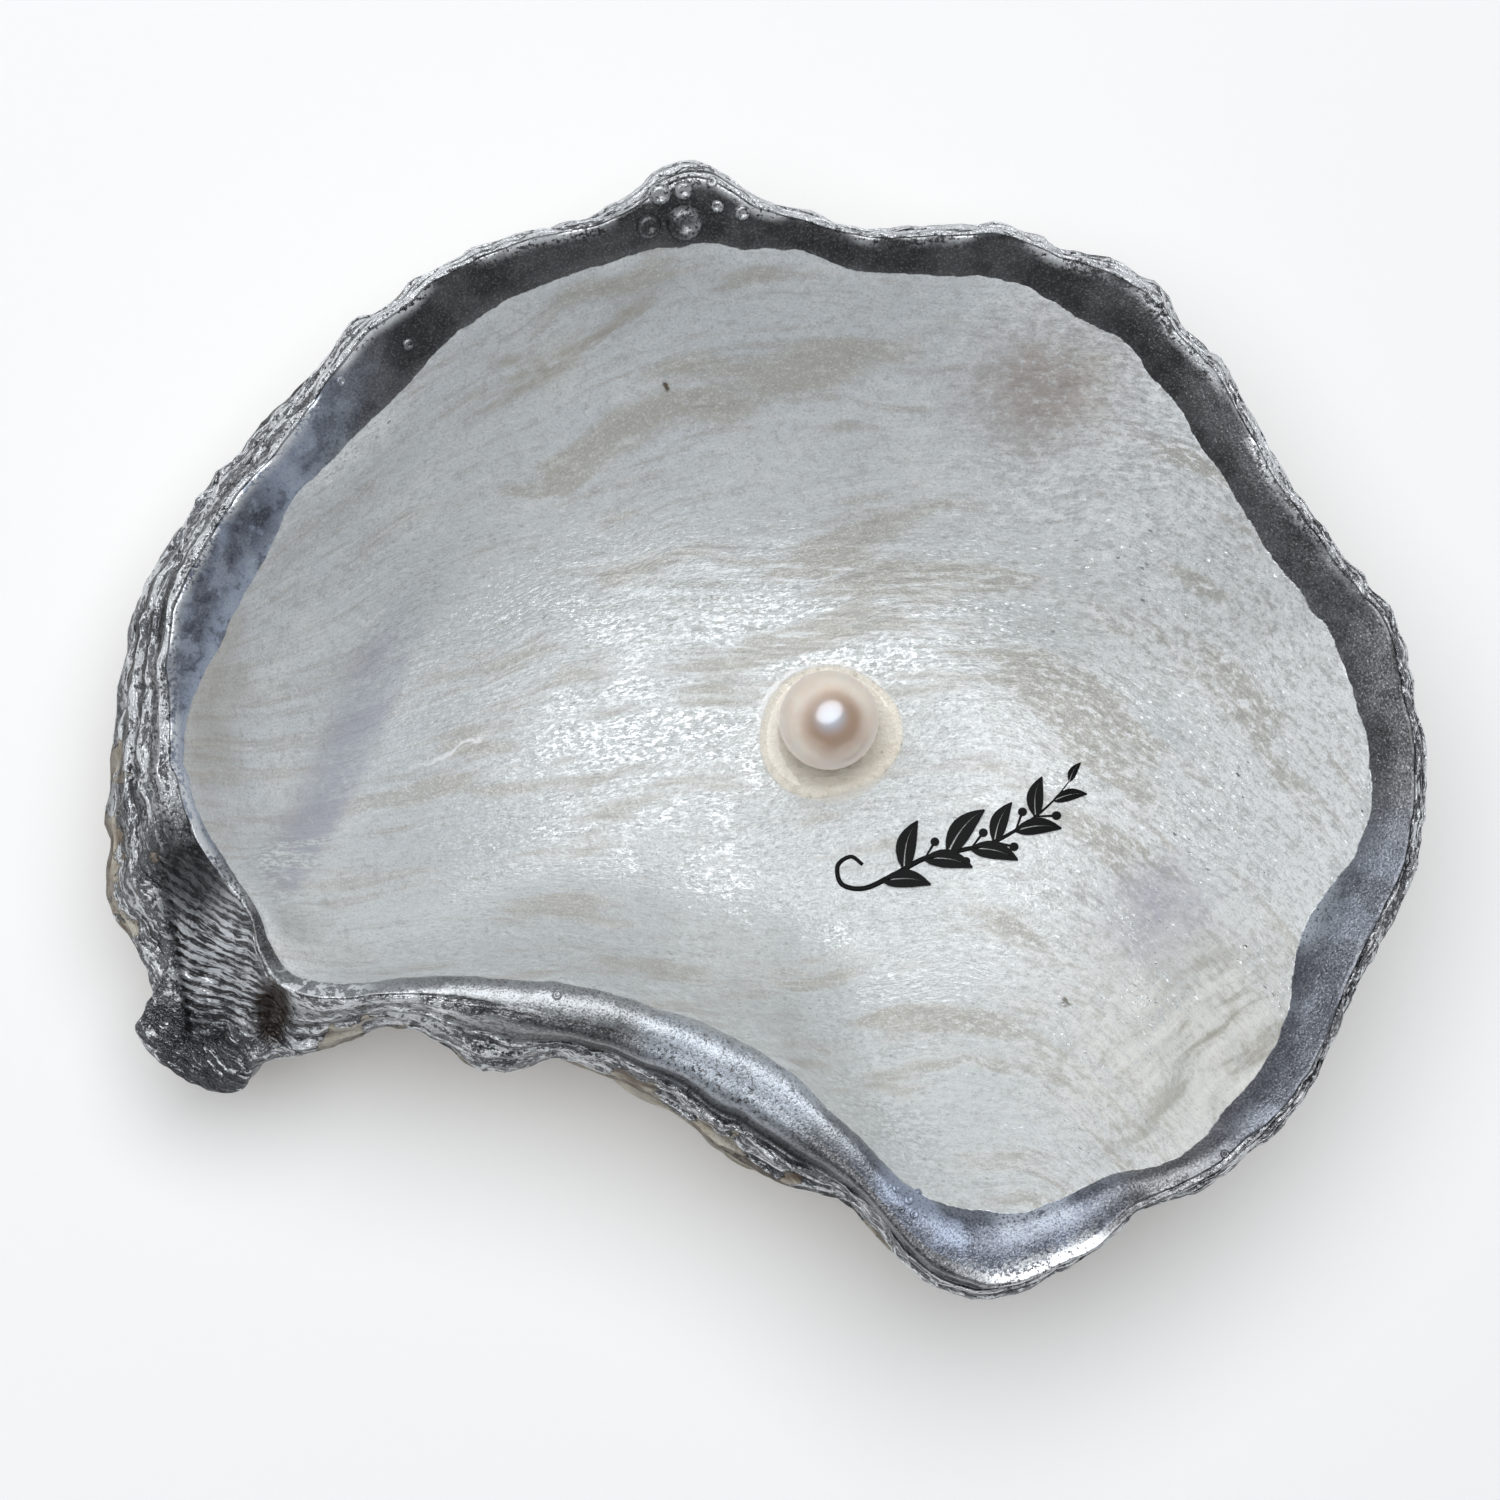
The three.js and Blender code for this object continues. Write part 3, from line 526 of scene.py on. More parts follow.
def relief(grid, s, marks):
    """How far each point of the skin is lifted along its normal, in millimetres. It adds marks of its own."""
    inward, outer = marks["inward"], marks["outer"]
    plan = grid[..., :2]
    inside = (inward >= 0).astype(float)
    bowl = inside * ease(inward - s.shelf, 0, 1.2) * ease(s.reach - inward, 0, 8)
    band = inside * (1 - ease(inward - s.shelf, -0.25, 0.0))
    belly = (outer > 0).astype(float) * ease(1 - outer, 0, 0.12)
    side = (1 - inside) * (outer <= 0)
    crust = side * (1 - s.front * ease(-0.055 - outer, 0, 0.012))

    # The uneven paint of the bowl, the thick silver of the band and the roll, and the rough edges and belly
    lift = bowl * summed(lumps, grid, (0.12, 9, 1), (0.04, 3.1, 2))
    lift += band * summed(lumps, grid, (0.05, 2.6, 3), (0.02, 1.1, 4), base=0.07)
    lift += band * s.front * ROLL_CREST * np.sin(np.pi * np.clip(inward / s.shelf, 0, 1))
    lift += crust * summed(lumps, grid, (0.22, 1.9, 5), (0.17, 0.85, 6), base=0.05)
    lift += belly * summed(lumps, grid, (0.24, 3.3, 7), (0.13, 1.3, 8), (0.06, 0.7, 9))

    # The ligament's trough: hollow and ridged, with a groove along its left edge and a pocket at its foot
    from_axis, way = beside(plan, TROUGH)
    ends = ease(way, 0.01, 0.1) * ease(way, 0.99, 0.93)
    trough = side * ends * ease(TROUGH_HALF_WIDTH + 0.35 - np.abs(from_axis), 0, 0.7)
    across = (0.62 - 0.35 * way) * (grid[..., 0] + 40) + 0.87 * grid[..., 1]
    across = summed(lumps, grid, (0.28, 2.6, 10), (0.08, 1.1, 11), base=across) / STRIATION
    ridge = 1 - 2 * np.abs(across - np.floor(across) - 0.5) * 2
    bold = 0.05 + 0.05 * lumps(grid, 2.0, 12)
    hollow = TROUGH_DEPTH * (1 - (from_axis / (TROUGH_HALF_WIDTH + 0.4)) ** 2)
    lift += trough * (bold * ridge - hollow)
    groove = side * ends * np.exp(-((from_axis + TROUGH_HALF_WIDTH) / GROOVE_WIDTH) ** 2)
    from_pocket = np.hypot(1.2 * (plan[..., 0] - POCKET_X), 0.7 * (plan[..., 1] - POCKET_Y))
    pocket = side * ease(POCKET_RADIUS - from_pocket, 0, 0.9)
    lift -= GROOVE_DEPTH * groove + POCKET_DEPTH * pocket

    # The crease, the muscle's scar and the small step by the hinge, inside the bowl
    crease, crease_way = beside(plan, CREASE)
    across_crease = np.exp(-(((crease - CREASE_OFFSET) / CREASE_WIDTH) ** 2))
    lift -= bowl * CREASE_DEPTH * fading(crease_way, 0.08, 0.9) * across_crease
    scar, way = beside(plan, MUSCLE_SCAR)
    scar_fade = fading(way, 0.06, 0.88)
    lift -= bowl * MUSCLE_SCAR_DEPTH * scar_fade * ease(scar, 0, 0.9) * (1 - ease(scar, 2.0, 5.5))
    step, way = beside(plan, HINGE_STEP)
    fade = fading(way, 0.1, 0.85)
    raised, lowered = ease(-step, -0.5, 0.2), 1 - ease(-step, 0.6, 3)
    lift += inside * ease(inward - s.shelf, 0, 0.5) * HINGE_STEP_HEIGHT * fade * raised * lowered

    # These marks tell the material where to paint shade: in the crevices, the groove and the pocket, beside
    # the hinge step, along the crease and over the muscle's scar
    marks["crevice"] = np.maximum(marks["crevice"], np.maximum(groove, 0.85 * pocket))
    marks["crust"] = crust * (1 - 0.8 * trough)
    marks["trough"] = trough
    marks["striae"] = across
    marks["hinge_step_shade"] = inside * fade * ease(step, 0.1, 0.5) * (1 - ease(step, 1.3, 2.3))
    marks["crease"] = ease(crease, -0.5, 0.5) * (1 - ease(crease, 2.0, 5.0))
    marks["crease"] *= ease(crease_way, 0.0, 0.15) * ease(crease_way, 1.0, 0.55)
    marks["scar"] = ease(scar, 0, 0.7) * (1 - ease(scar, 1.4, 4.2)) * scar_fade
    return lift


def brush_lines(grid):
    """A value that is the same along a stroke of the brush. Strokes arch over the bowl and down its sides."""
    x, y = grid[..., 0], grid[..., 1]
    right = np.hypot(1.6 * np.maximum(x - 18, 0), y + 40)
    left = 0.013 * ease(y, -24, 20) * np.minimum(x - 3, 0) ** 2
    return summed(lumps, grid, (1.8, 16, 21), (0.6, 5, 22), base=right + left)


def layer_places(grid, s, lip_row):
    """Places for patterns along the laminae, in millimetres: x and y round the rim, z down from the lip."""
    steps = np.linalg.norm(np.diff(grid, axis=0), axis=-1)
    down = np.vstack([np.zeros(COLUMNS), np.cumsum(steps, axis=0)])
    down = down - down[lip_row]
    turn = 2 * np.pi * s.turn
    round_x, round_y = (np.broadcast_to(RIM_RADIUS * wave(turn), down.shape) for wave in (np.cos, np.sin))
    return np.stack([round_x, round_y, down], axis=-1)


def smoothed(grid, rows, times):
    """Softens a few neighbouring rows, such as the roll of the lip."""
    for _ in range(times):
        middle = grid[rows[0]:rows[1]].copy()
        beside_it = grid[rows[0] - 1:rows[1] - 1] + grid[rows[0] + 1:rows[1] + 1]
        grid[rows[0]:rows[1]] = 0.5 * middle + 0.25 * beside_it
    return grid


def placed(name, data):
    """A new object in the scene, at the origin."""
    thing = bpy.data.objects.new(name, data)
    bpy.context.scene.collection.objects.link(thing)
    return thing


def mesh_object(name, points, faces, smooth=True):
    """A mesh object from points in millimetres. It sits at the origin, with its place in its mesh."""
    mesh = bpy.data.meshes.new(name)
    mesh.from_pydata((np.asarray(points, float) * MM).tolist(), [], [tuple(face) for face in faces])
    mesh.polygons.foreach_set("use_smooth", [smooth] * len(mesh.polygons))
    mesh.update()
    return placed(name, mesh)


def write_mark(mesh, name, values, kind="FLOAT"):
    """Keeps a value or a direction for each point of a mesh, which materials and trees read by its name."""
    attribute = mesh.attributes.new(name, kind, "POINT")
    field = "value" if kind == "FLOAT" else "vector"
    attribute.data.foreach_set(field, np.asarray(values, np.float32).ravel())


def grid_faces(row_count, column_count, first, last):
    """Quads over a grid that closes round its columns, with a fan to a first and a last point."""
    j = np.arange(column_count)
    k = (j + 1) % column_count
    faces = [tuple(face) for face in np.column_stack([np.full(column_count, first), j, k]).tolist()]
    for i in range(row_count - 1):
        near, far = i * column_count, (i + 1) * column_count
        faces += np.column_stack([near + j, far + j, far + k, near + k]).tolist()
    end = (row_count - 1) * column_count
    faces += np.column_stack([end + j, np.full(column_count, last), end + k]).tolist()
    return faces


def zone_of_faces(inward, band):
    """Which finish each face takes: 0 in the bowl, 1 where silver meets pearl paint, 2 outside."""
    depth = inward - band
    shallow = np.minimum(depth[:-1], depth[1:])
    shallow = np.minimum(shallow, np.roll(shallow, -1, axis=1))
    outside = np.maximum(inward[:-1], inward[1:]) < 0
    return np.where(outside, 2, np.where(shallow > BAND_FINISH_REACH, 0, 1))


def make_shell():
    s = Sections()
    rows = Rows()
    add_bowl(rows, s)
    lip_row = len(rows.points)
    add_terraces(rows, s)
    add_belly(rows, s)
    grid = np.array(rows.points)
    marks = {name: np.array(values) for name, values in rows.marks.items()}
    grid = smoothed(grid, (lip_row - 3, lip_row + 2), 2)
    grid = grid + skin_normals(grid) * relief(grid, s, marks)[..., None]
    grid[..., 2] = np.maximum(grid[..., 2], 0)
    flat = grid.reshape(-1, 3)
    points = np.vstack([flat, [[FLOOR_X, FLOOR_Y, FLOOR_Z], [SCAR_X, SCAR_Y, 0.0]]])
    faces = grid_faces(len(grid), COLUMNS, len(flat), len(flat) + 1)
    shell = mesh_object("oyster_shell", points, faces)
    marks["band"] = np.broadcast_to(s.shelf, marks["inward"].shape)
    marks["strokes"] = brush_lines(grid)
    # What the marks are in the middle of the floor and in the middle of the scar
    middles = {
        "inward": (30, -1), "outer": (-SIDE_DEPTH, 1), "band": (3, 3), "strokes": (42, 42), "crust": (0, 1),
    }
    for name, values in marks.items():
        write_mark(shell.data, name, np.append(values.ravel(), middles.get(name, (0, 0))))
    along = np.roll(grid, -1, axis=1) - np.roll(grid, 1, axis=1)
    along /= np.maximum(np.linalg.norm(along, axis=-1, keepdims=True), 1e-9)
    write_mark(shell.data, "along", np.vstack([along.reshape(-1, 3), [[1, 0, 0], [1, 0, 0]]]), "FLOAT_VECTOR")
    layers = layer_places(grid, s, lip_row)
    layers = np.vstack([layers.reshape(-1, 3), layers[0, 0], layers[-1, 0]])
    write_mark(shell.data, "layers", layers, "FLOAT_VECTOR")
    zones = np.concatenate([[0] * COLUMNS, zone_of_faces(marks["inward"], s.shelf).ravel(), [2] * COLUMNS])
    shell.data.polygons.foreach_set("material_index", zones.astype(np.int32))
    return shell


def linear(red, green, blue):
    """A colour named as it looks on a screen, from 0 to 255, as the shader needs it."""
    channels = [c / 255 for c in (red, green, blue)]
    return (*[c / 12.92 if c <= 0.04045 else ((c + 0.055) / 1.055) ** 2.4 for c in channels], 1.0)


class Value:
    """What a node gives, ready to be added, taken away and multiplied."""

    def __init__(self, maker, socket):
        self.maker = maker
        self.socket = socket

    def __add__(self, other):
        return self.maker.math("ADD", self, other)

    def __sub__(self, other):
        return self.maker.math("SUBTRACT", self, other)

    def __rsub__(self, other):
        return self.maker.math("SUBTRACT", other, self)

    def __mul__(self, other):
        return self.maker.math("MULTIPLY", self, other)


class Nodes:
    """Short ways to add and join the nodes of a material or of a Geometry Nodes tree."""

    def __init__(self, group):
        self.group = group

    def feed(self, socket, value):
        if isinstance(value, Value):
            value = value.socket
        if isinstance(value, bpy.types.NodeSocket):
            self.group.links.new(value, socket)
        else:
            socket.default_value = value

    def node(self, kind, inputs, **settings):
        node = self.group.nodes.new(kind)
        for name, value in settings.items():
            setattr(node, name, value)
        for key, value in inputs.items():
            self.feed(node.inputs[key], value)
        return node

    def result(self, kind, inputs, output=0, **settings):
        """What a new node gives."""
        return self.node(kind, inputs, **settings).outputs[output]

    def value(self, kind, inputs, output=0, **settings):
        return Value(self, self.result(kind, inputs, output, **settings))

    def math(self, operation, *values):
        return self.value("ShaderNodeMath", dict(enumerate(values)), operation=operation)

    def vector(self, operation, *values):
        return self.result("ShaderNodeVectorMath", dict(enumerate(values)), operation=operation)

    def scaled(self, vector, scale):
        return self.result("ShaderNodeVectorMath", {0: vector, "Scale": scale}, operation="SCALE")

    def join(self, x, y, z):
        return self.result("ShaderNodeCombineXYZ", {0: x, 1: y, 2: z})

    def split(self, vector):
        return [Value(self, part) for part in self.node("ShaderNodeSeparateXYZ", {0: vector}).outputs]


class Shader(Nodes):
    """The nodes of one material."""

    def __init__(self, name):
        self.material = bpy.data.materials.new(name)
        self.material.use_nodes = True
        super().__init__(self.material.node_tree)
        self.surface = self.group.nodes["Principled BSDF"]

    def set(self, **values):
        """Sets the surface's own sockets: a name's underscores stand for spaces."""
        for name, value in values.items():
            self.feed(self.surface.inputs[name.replace("_", " ")], value)

    def place(self):
        """Object coordinates in millimetres."""
        return self.scaled(self.result("ShaderNodeTexCoord", {}, "Object"), 1 / MM)

    def layers(self, round_scale, down_scale):
        """Places that follow the laminae, scaled along the rim and down from the lip."""
        layers = self.result("ShaderNodeAttribute", {}, "Vector", attribute_name="layers")
        return self.vector("MULTIPLY", layers, (round_scale, round_scale, down_scale))

    def strayed(self, place, scale, reach):
        """Places that noise pushes about in plan, so that what is painted there gets a hand-made edge."""
        noise = self.result("ShaderNodeTexNoise", {"Vector": place, "Scale": scale, "Detail": 2.0}, "Color")
        pushed = self.vector("MULTIPLY", self.vector("SUBTRACT", noise, (0.5, 0.5, 0.5)), (reach, reach, 0))
        return self.vector("ADD", place, pushed)

    def mark(self, name):
        """A mark that the shell's mesh carries."""
        return self.value("ShaderNodeAttribute", {}, "Fac", attribute_name=name)

    def noise(self, vector, scale=1.0, detail=2.0, roughness=0.5):
        inputs = {"Vector": vector, "Scale": scale, "Detail": detail, "Roughness": roughness}
        return self.value("ShaderNodeTexNoise", inputs)

    def step(self, value, low, high):
        """0 below low, 1 above high, smooth between."""
        inputs = {"Value": value, "From Min": low, "From Max": high}
        return self.value("ShaderNodeMapRange", inputs, interpolation_type="SMOOTHSTEP")

    def between(self, share, low, high):
        """A value from low, at a share of 0, to high, at a share of 1."""
        return self.value("ShaderNodeMix", {0: share, 2: low, 3: high}, data_type="FLOAT")

    def most(self, *values):
        """The highest of some values."""
        highest = values[0]
        for value in values[1:]:
            highest = self.math("MAXIMUM", highest, value)
        return highest

    def blend(self, share, low, high):
        """A colour from low, at a share of 0, to high, at a share of 1."""
        return self.result("ShaderNodeMix", {0: share, 6: low, 7: high}, 2, data_type="RGBA")

    def over(self, colour, *coats):
        """A colour under coats laid on in turn: the share that each one covers and its colour on a screen."""
        for share, coat in coats:
            colour = self.blend(share, colour, linear(*coat) if isinstance(coat, tuple) else coat)
        return colour

    def spot(self, place, centre, radius, softness, stretch=(1, 1, 1)):
        """1 at a centre, 0 beyond a radius, in millimetres; a stretch under 1 makes it longer that way."""
        flat = self.vector("MULTIPLY", self.vector("SUBTRACT", place, centre), stretch)
        distance = self.result("ShaderNodeVectorMath", {0: flat}, "Value", operation="LENGTH")
        return self.step(distance, radius + softness, max(radius - softness, 0))

    def dab(self, place, centre, radius, softness, stretch=(1, 1)):
        """A spot seen in plan, whatever its height."""
        return self.spot(place, (*centre, 0), radius, softness, (*stretch, 0))

    def stroke(self, place, start, end, half_width, softness):
        """1 on a straight stroke between two points in plan, 0 beside it and beyond its ends."""
        heading = Vector(end) - Vector(start)
        reach = heading.length
        along_x, along_y = heading / reach
        x, y, _ = self.split(self.vector("SUBTRACT", place, (*start, 0)))
        along = x * along_x + y * along_y
        across = self.math("ABSOLUTE", y * along_x - x * along_y)
        ends = self.step(along, 0, reach / 4) * self.step(along, reach, 0.75 * reach)
        return self.step(across, half_width + softness, half_width - softness) * ends

    def tilted(self, normal, cells_at, strength):
        """A normal that turns by chance from flake to flake, and far on a few flakes that sparkle."""
        cells = self.result("ShaderNodeTexWhiteNoise", {"Vector": self.vector("FLOOR", cells_at)}, "Color")
        sparkling = self.math("GREATER_THAN", self.split(cells)[0], 1 - SPARKLING_SHARE)
        offset = self.vector("SUBTRACT", cells, (0.5, 0.5, 0.5))
        turned = self.scaled(offset, strength * (sparkling * SPARKLING_TURN + 1.0))
        return self.vector("NORMALIZE", self.vector("ADD", normal, turned))

    def bump(self, height):
        """A bumped normal from a height in millimetres."""
        return self.result("ShaderNodeBump", {"Strength": 1.0, "Distance": MM, "Height": height})


SPARKLING_SHARE = 0.06  # of the flakes, and how much further than the others these turn
SPARKLING_TURN = 1.6


def mixed(m, share, low, high):
    """Two paints blended by a share: the low one at 0 and the high one at 1."""
    numbers = ("height", "metallic", "roughness", "glitter")
    both = {name: m.between(share, low[name], high[name]) for name in numbers}
    for name in ("colour", "cells"):
        both[name] = m.blend(share, low[name], high[name])
    return both


def coated(m, paint):
    """Joins a paint to the material's surface, with its flakes and a clear coat."""
    normal = m.bump(paint["height"])
    m.set(Base_Color=paint["colour"], Metallic=paint["metallic"], Roughness=paint["roughness"])
    m.set(Normal=m.tilted(normal, paint["cells"], paint["glitter"]), Coat_Normal=normal)
    m.set(Coat_Weight=0.35, Coat_Roughness=0.12, Coat_IOR=1.45, Specular_IOR_Level=0.5)
    return m.material


def bowl_finish():
    m = Shader("pearl_paint")
    return coated(m, pearl_paint(m))


def band_finish():
    """The silver band, and where it meets the pearl paint of the bowl."""
    m = Shader("silver_band")
    place = m.place()
    wander = (m.noise(place, 0.13) - 0.5) * 1.5
    ragged = (m.noise(place, 1.3, 2, 0.6) - 0.5) * 0.25
    wider = m.dab(place, (38.4, -12.5), 2.5, 2.5, (1, 0.6))
    from_band = m.mark("inward") - m.mark("band") + wander + ragged - wider * 0.8
    return coated(m, mixed(m, m.step(from_band, -0.04, 0.05), silver_paint(m), pearl_paint(m)))


def outside_finish():
    """The silver over the edge, and where it ends on the bare shell."""
    m = Shader("silver_and_shell")
    place = m.place()
    drips = (m.noise(m.vector("MULTIPLY", place, (1, 1, 0.5)), 0.3, 2, 0.6) - 0.5) * 0.2
    ragged = (m.noise(place, 2.2, 2, 0.6) - 0.5) * 0.05
    missed = m.most(
        m.spot(place, (-29, -22, 12), 4.5, 2.5, (1, 1, 0.2)),
        m.spot(place, (-5, -28, 12), 8.0, 3.0, (1, 1, 0.2)),
        m.spot(place, (-47.5, -8, 12), 6.0, 3.0, (1, 0.8, 0.2)),
    )
    bared = m.step(m.mark("outer") + drips + ragged + missed * 0.05, 0.03, 0.04)
    return coated(m, mixed(m, bared, silver_paint(m), bare_shell(m)))


def pearl_paint(m):
    """Pearl white paint brushed on in arcs, with mica in it. Glints, highlights and some light and shade are
    painted into its colour.
    """
    place = m.place()
    x, y, _ = m.split(place)
    strokes = m.mark("strokes")

    def brushed(along, across, detail, roughness):
        """Noise drawn out along the strokes of the brush."""
        return m.noise(m.join(x * along, y * along, strokes * across), 1.0, detail, roughness)

    wide = brushed(0.06, 0.28, 3, 0.6)
    narrow = brushed(0.13, 1.5, 3, 0.65)
    bristles = brushed(0.2, 3.4, 2, 0.65)
    emboss = brushed(1.15, 1.9, 3, 0.75)
    cloud = m.noise(place, 0.11, 2, 0.55)
    mottle = m.noise(place, 1.1, 3, 0.75)
    speckle = m.noise(place, 5.5, 1, 0.7)
    wander = m.strayed(place, 0.25, 5)
    stirred = m.strayed(place, 0.6, 0.9)
    rough_edged = m.strayed(place, 0.6, 1.8)
    right = m.step(x, 8, 28)
    warm = m.spot(wander, (32, -23, 17), 8, 7, (1, 1, 0.3))
    arcs = m.step(wide * m.between(warm, 1.0, 0.8), 0.48, 0.62)
    lightest = m.most(right, m.step(y, -18, -27) * 0.8)
    cool = m.most(m.step(x, 4, -30) * m.step(y, -18, -6), m.step(y, 4, 24) * 0.85)
    blotched = m.step(mottle, 0.25, 0.5)
    lavender = m.dab(wander, (30.2, -12.4), 2.4, 2.6, (1, 0.8)) * blotched
    stain = m.spot(wander, (20.75, 26.3, 17), 3.6, 3.4, (0.8, 1, 0.3)) * blotched
    tan = m.most(
        m.stroke(stirred, (-23.5, 22.4), (-5.5, 33.6), 0.35, 1.2),
        m.stroke(stirred, (-21.5, 27.0), (-14.5, 27.4), 0.25, 0.9),
    )
    strands = m.noise(m.join((x * 0.85 + y * 0.53) * 0.3, (y * 0.85 - x * 0.53) * 1.5, 0.0), 1.0, 3, 0.65)
    edging = m.spot(wander, (-40.5, 8.0, 17), 2.4, 1.8, (1, 0.16, 0.2))
    bent_x, bent_y, _ = m.split(m.strayed(place, 0.07, 9))
    slanted = m.join((bent_x + bent_y) * 0.08, (bent_x - bent_y) * 0.42, 0.0)
    swept = m.noise(slanted, 1.0, 3, 0.6) * 0.8 + mottle * 0.2
    # Two painted glints along thin ridges of paint
    ridge_glints = m.most(
        m.stroke(rough_edged, (-25.9, -2.1), (-18.9, 1.9), 0.14, 0.12),
        m.stroke(rough_edged, (-29.6, 8.8), (-27.0, 9.7), 0.12, 0.12),
    )
    # A frosty edge of mica at the top left, with a painted glint on it
    frosty_glint = m.stroke(stirred, (-35.0, 15.8), (-26.0, 24.0), 0.7, 1.2) * m.step(mottle, 0.66, 0.44)

    glued = m.dab(place, (GLUE_X, GLUE_Y), 5.3, 0.2)
    round_glue = m.dab(place, (GLUE_X - 0.1, GLUE_Y + 0.1), 5.5, 0.1)
    under_glue = m.dab(place, (GLUE_X, GLUE_Y), 5.3, 0.1)
    # A painted highlight arc round the glue's rim, on one side
    arc = (round_glue - under_glue) * m.step(y - x * 0.3, GLUE_Y - 1.5, GLUE_Y + 0.5)

    # Patches where glints and glare are painted, one of them by the hinge
    by_hinge = m.dab(wander, (-34.2, -9.6), 3.4, 2.0, (1, 0.8))
    glint_patches = m.most(
        m.dab(wander, (4.5, 7.5), 7, 5, (0.8, 1.5)),
        m.dab(wander, (10.5, -25), 6, 5),
        by_hinge,
        m.dab(wander, (17.0, 11.0), 6, 4, (0.7, 1.6)),
        m.dab(wander, (29.0, 1.0), 3, 3),
        m.dab(wander, (-9.0, 2.0), 6, 4, (0.7, 2.2)),
    )
    mica = m.most(m.step(x, -36, -24), by_hinge) * m.step(wide, 0.6, 0.45) * m.step(y, 26, 12) * (1.0 - glued)
    patches = m.between(m.most(glint_patches, m.step(cloud, 0.55, 0.44)), 0.3, 1.0)
    mica_and_painted_glints = mica * m.step(brushed(1.7, 3.2, 3, 0.7), 0.47, 0.56) * patches
    sparks = m.most(mica_and_painted_glints * right, frosty_glint)
    # Painted glint streaks above the pearl, with darker gaps between them
    drawn = m.noise(m.join(x * 0.16, y * 1.5, 0.0), 1.0, 3, 0.7)
    above = m.dab(wander, (6.0, 10.5), 9, 6, (0.55, 1.4)) * (1.0 - glued)

    colour = m.over(
        m.blend(m.step(cloud, 0.35, 0.68), linear(228, 231, 230), linear(216, 220, 221)),
        # Painted light: the right of the bowl and its bottom get lighter paint, as these lie in less light
        (lightest * 0.95, (249, 252, 251)),
        (cool * m.step(cloud, 0.25, 0.5) * 0.85, (214, 219, 224)),
        # Beige arcs, and the strokes of the brush
        (arcs * m.between(m.step(x, -20, -34), 0.75, 0.4), (186, 182, 172)),
        (m.step(narrow, 0.52, 0.7) * 0.5, (180, 176, 168)),
        (m.step(narrow, 0.45, 0.28) * 0.4, (246, 248, 248)),
        # Mottling, and painted highlights and shade that follow the embossed heights and hollows of the thick
        # paint
        (m.step(mottle, 0.5, 0.66) * 0.45, (178, 178, 177)),
        (m.step(emboss, 0.5, 0.37) * m.between(right, 0.2, 0.9), (252, 253, 254)),
        (m.step(emboss, 0.51, 0.62) * right * 0.6, (176, 176, 172)),
        (m.step(speckle, 0.56, 0.7) * 0.4, (252, 253, 254)),
        (m.step(speckle, 0.44, 0.3) * 0.4, (160, 160, 160)),
        # Painted shade in the shell's hollows: along the crease, beside the hinge step and over the muscle's
        # scar
        (m.mark("crease") * m.step(mottle, 0.2, 0.45) * 0.7, (170, 172, 186)),
        (m.mark("hinge_step_shade") * 0.6, (172, 171, 168)),
        (m.mark("scar") * 0.5, (184, 182, 180)),
        # Tints and stains
        (lavender * 0.8, (180, 178, 194)),
        (stain * 0.7, (164, 150, 142)),
        (tan * m.step(strands, 0.3, 0.58) * 0.85, (166, 155, 139)),
        (edging * 0.5, (172, 162, 148)),
        (warm * 0.5, (222, 218, 206)),
        (warm * m.step(swept, 0.5, 0.64) * 0.8, (252, 251, 246)),
        (warm * m.step(swept, 0.5, 0.38) * 0.8, (170, 165, 153)),
        # Painted glints on two thin ridges of paint, and two brown specks
        (ridge_glints * 0.8, (252, 253, 254)),
        (m.dab(rough_edged, (-6.9, 26.5), 0.22, 0.12), (96, 82, 66)),
        (m.dab(rough_edged, (23.2, -18.8), 0.18, 0.12), (96, 82, 66)),
        # A painted glint on the frosty edge, the paint under the glue, and a painted highlight arc round it
        (frosty_glint, (252, 254, 255)),
        (glued * 0.5, (222, 214, 200)),
        (arc, (255, 255, 255)),
        # Mica: the paint darker where glints are painted on it, painted glint streaks above the pearl with
        # darker gaps, and painted glints, most in the glint patches
        (mica * m.between(glint_patches, m.between(right, 0.4, 0.1), 0.65), (194, 199, 198)),
        (above * m.step(drawn, 0.47, 0.36) * 0.7, (172, 173, 168)),
        (above * m.step(drawn, 0.54, 0.66) * 0.7, (246, 252, 255)),
        (mica_and_painted_glints * m.between(glint_patches, 0.6, 0.9), (250, 254, 255)),
    )
    leathery = m.most(m.step(x, -36, -24) * m.step(y, 26, 12), right)
    height = bristles * 0.03 + narrow * m.between(leathery, 0.02, 0.08) + speckle * 0.018
    return {
        "colour": colour,
        "height": height + emboss * m.between(leathery, 0.03, 0.15),
        "metallic": m.between(m.most(mica_and_painted_glints, frosty_glint), 0.03, 0.4),
        "roughness": m.math("MINIMUM", m.between(mica, 0.46, 0.32), m.between(sparks, 0.46, 0.2)),
        "glitter": m.most(mica * m.between(glint_patches, 0.22, 0.3), m.between(sparks, 0.02, 0.7)),
        "cells": m.join(x * 3.6, y * 3.6, strokes * 6.0),
    }


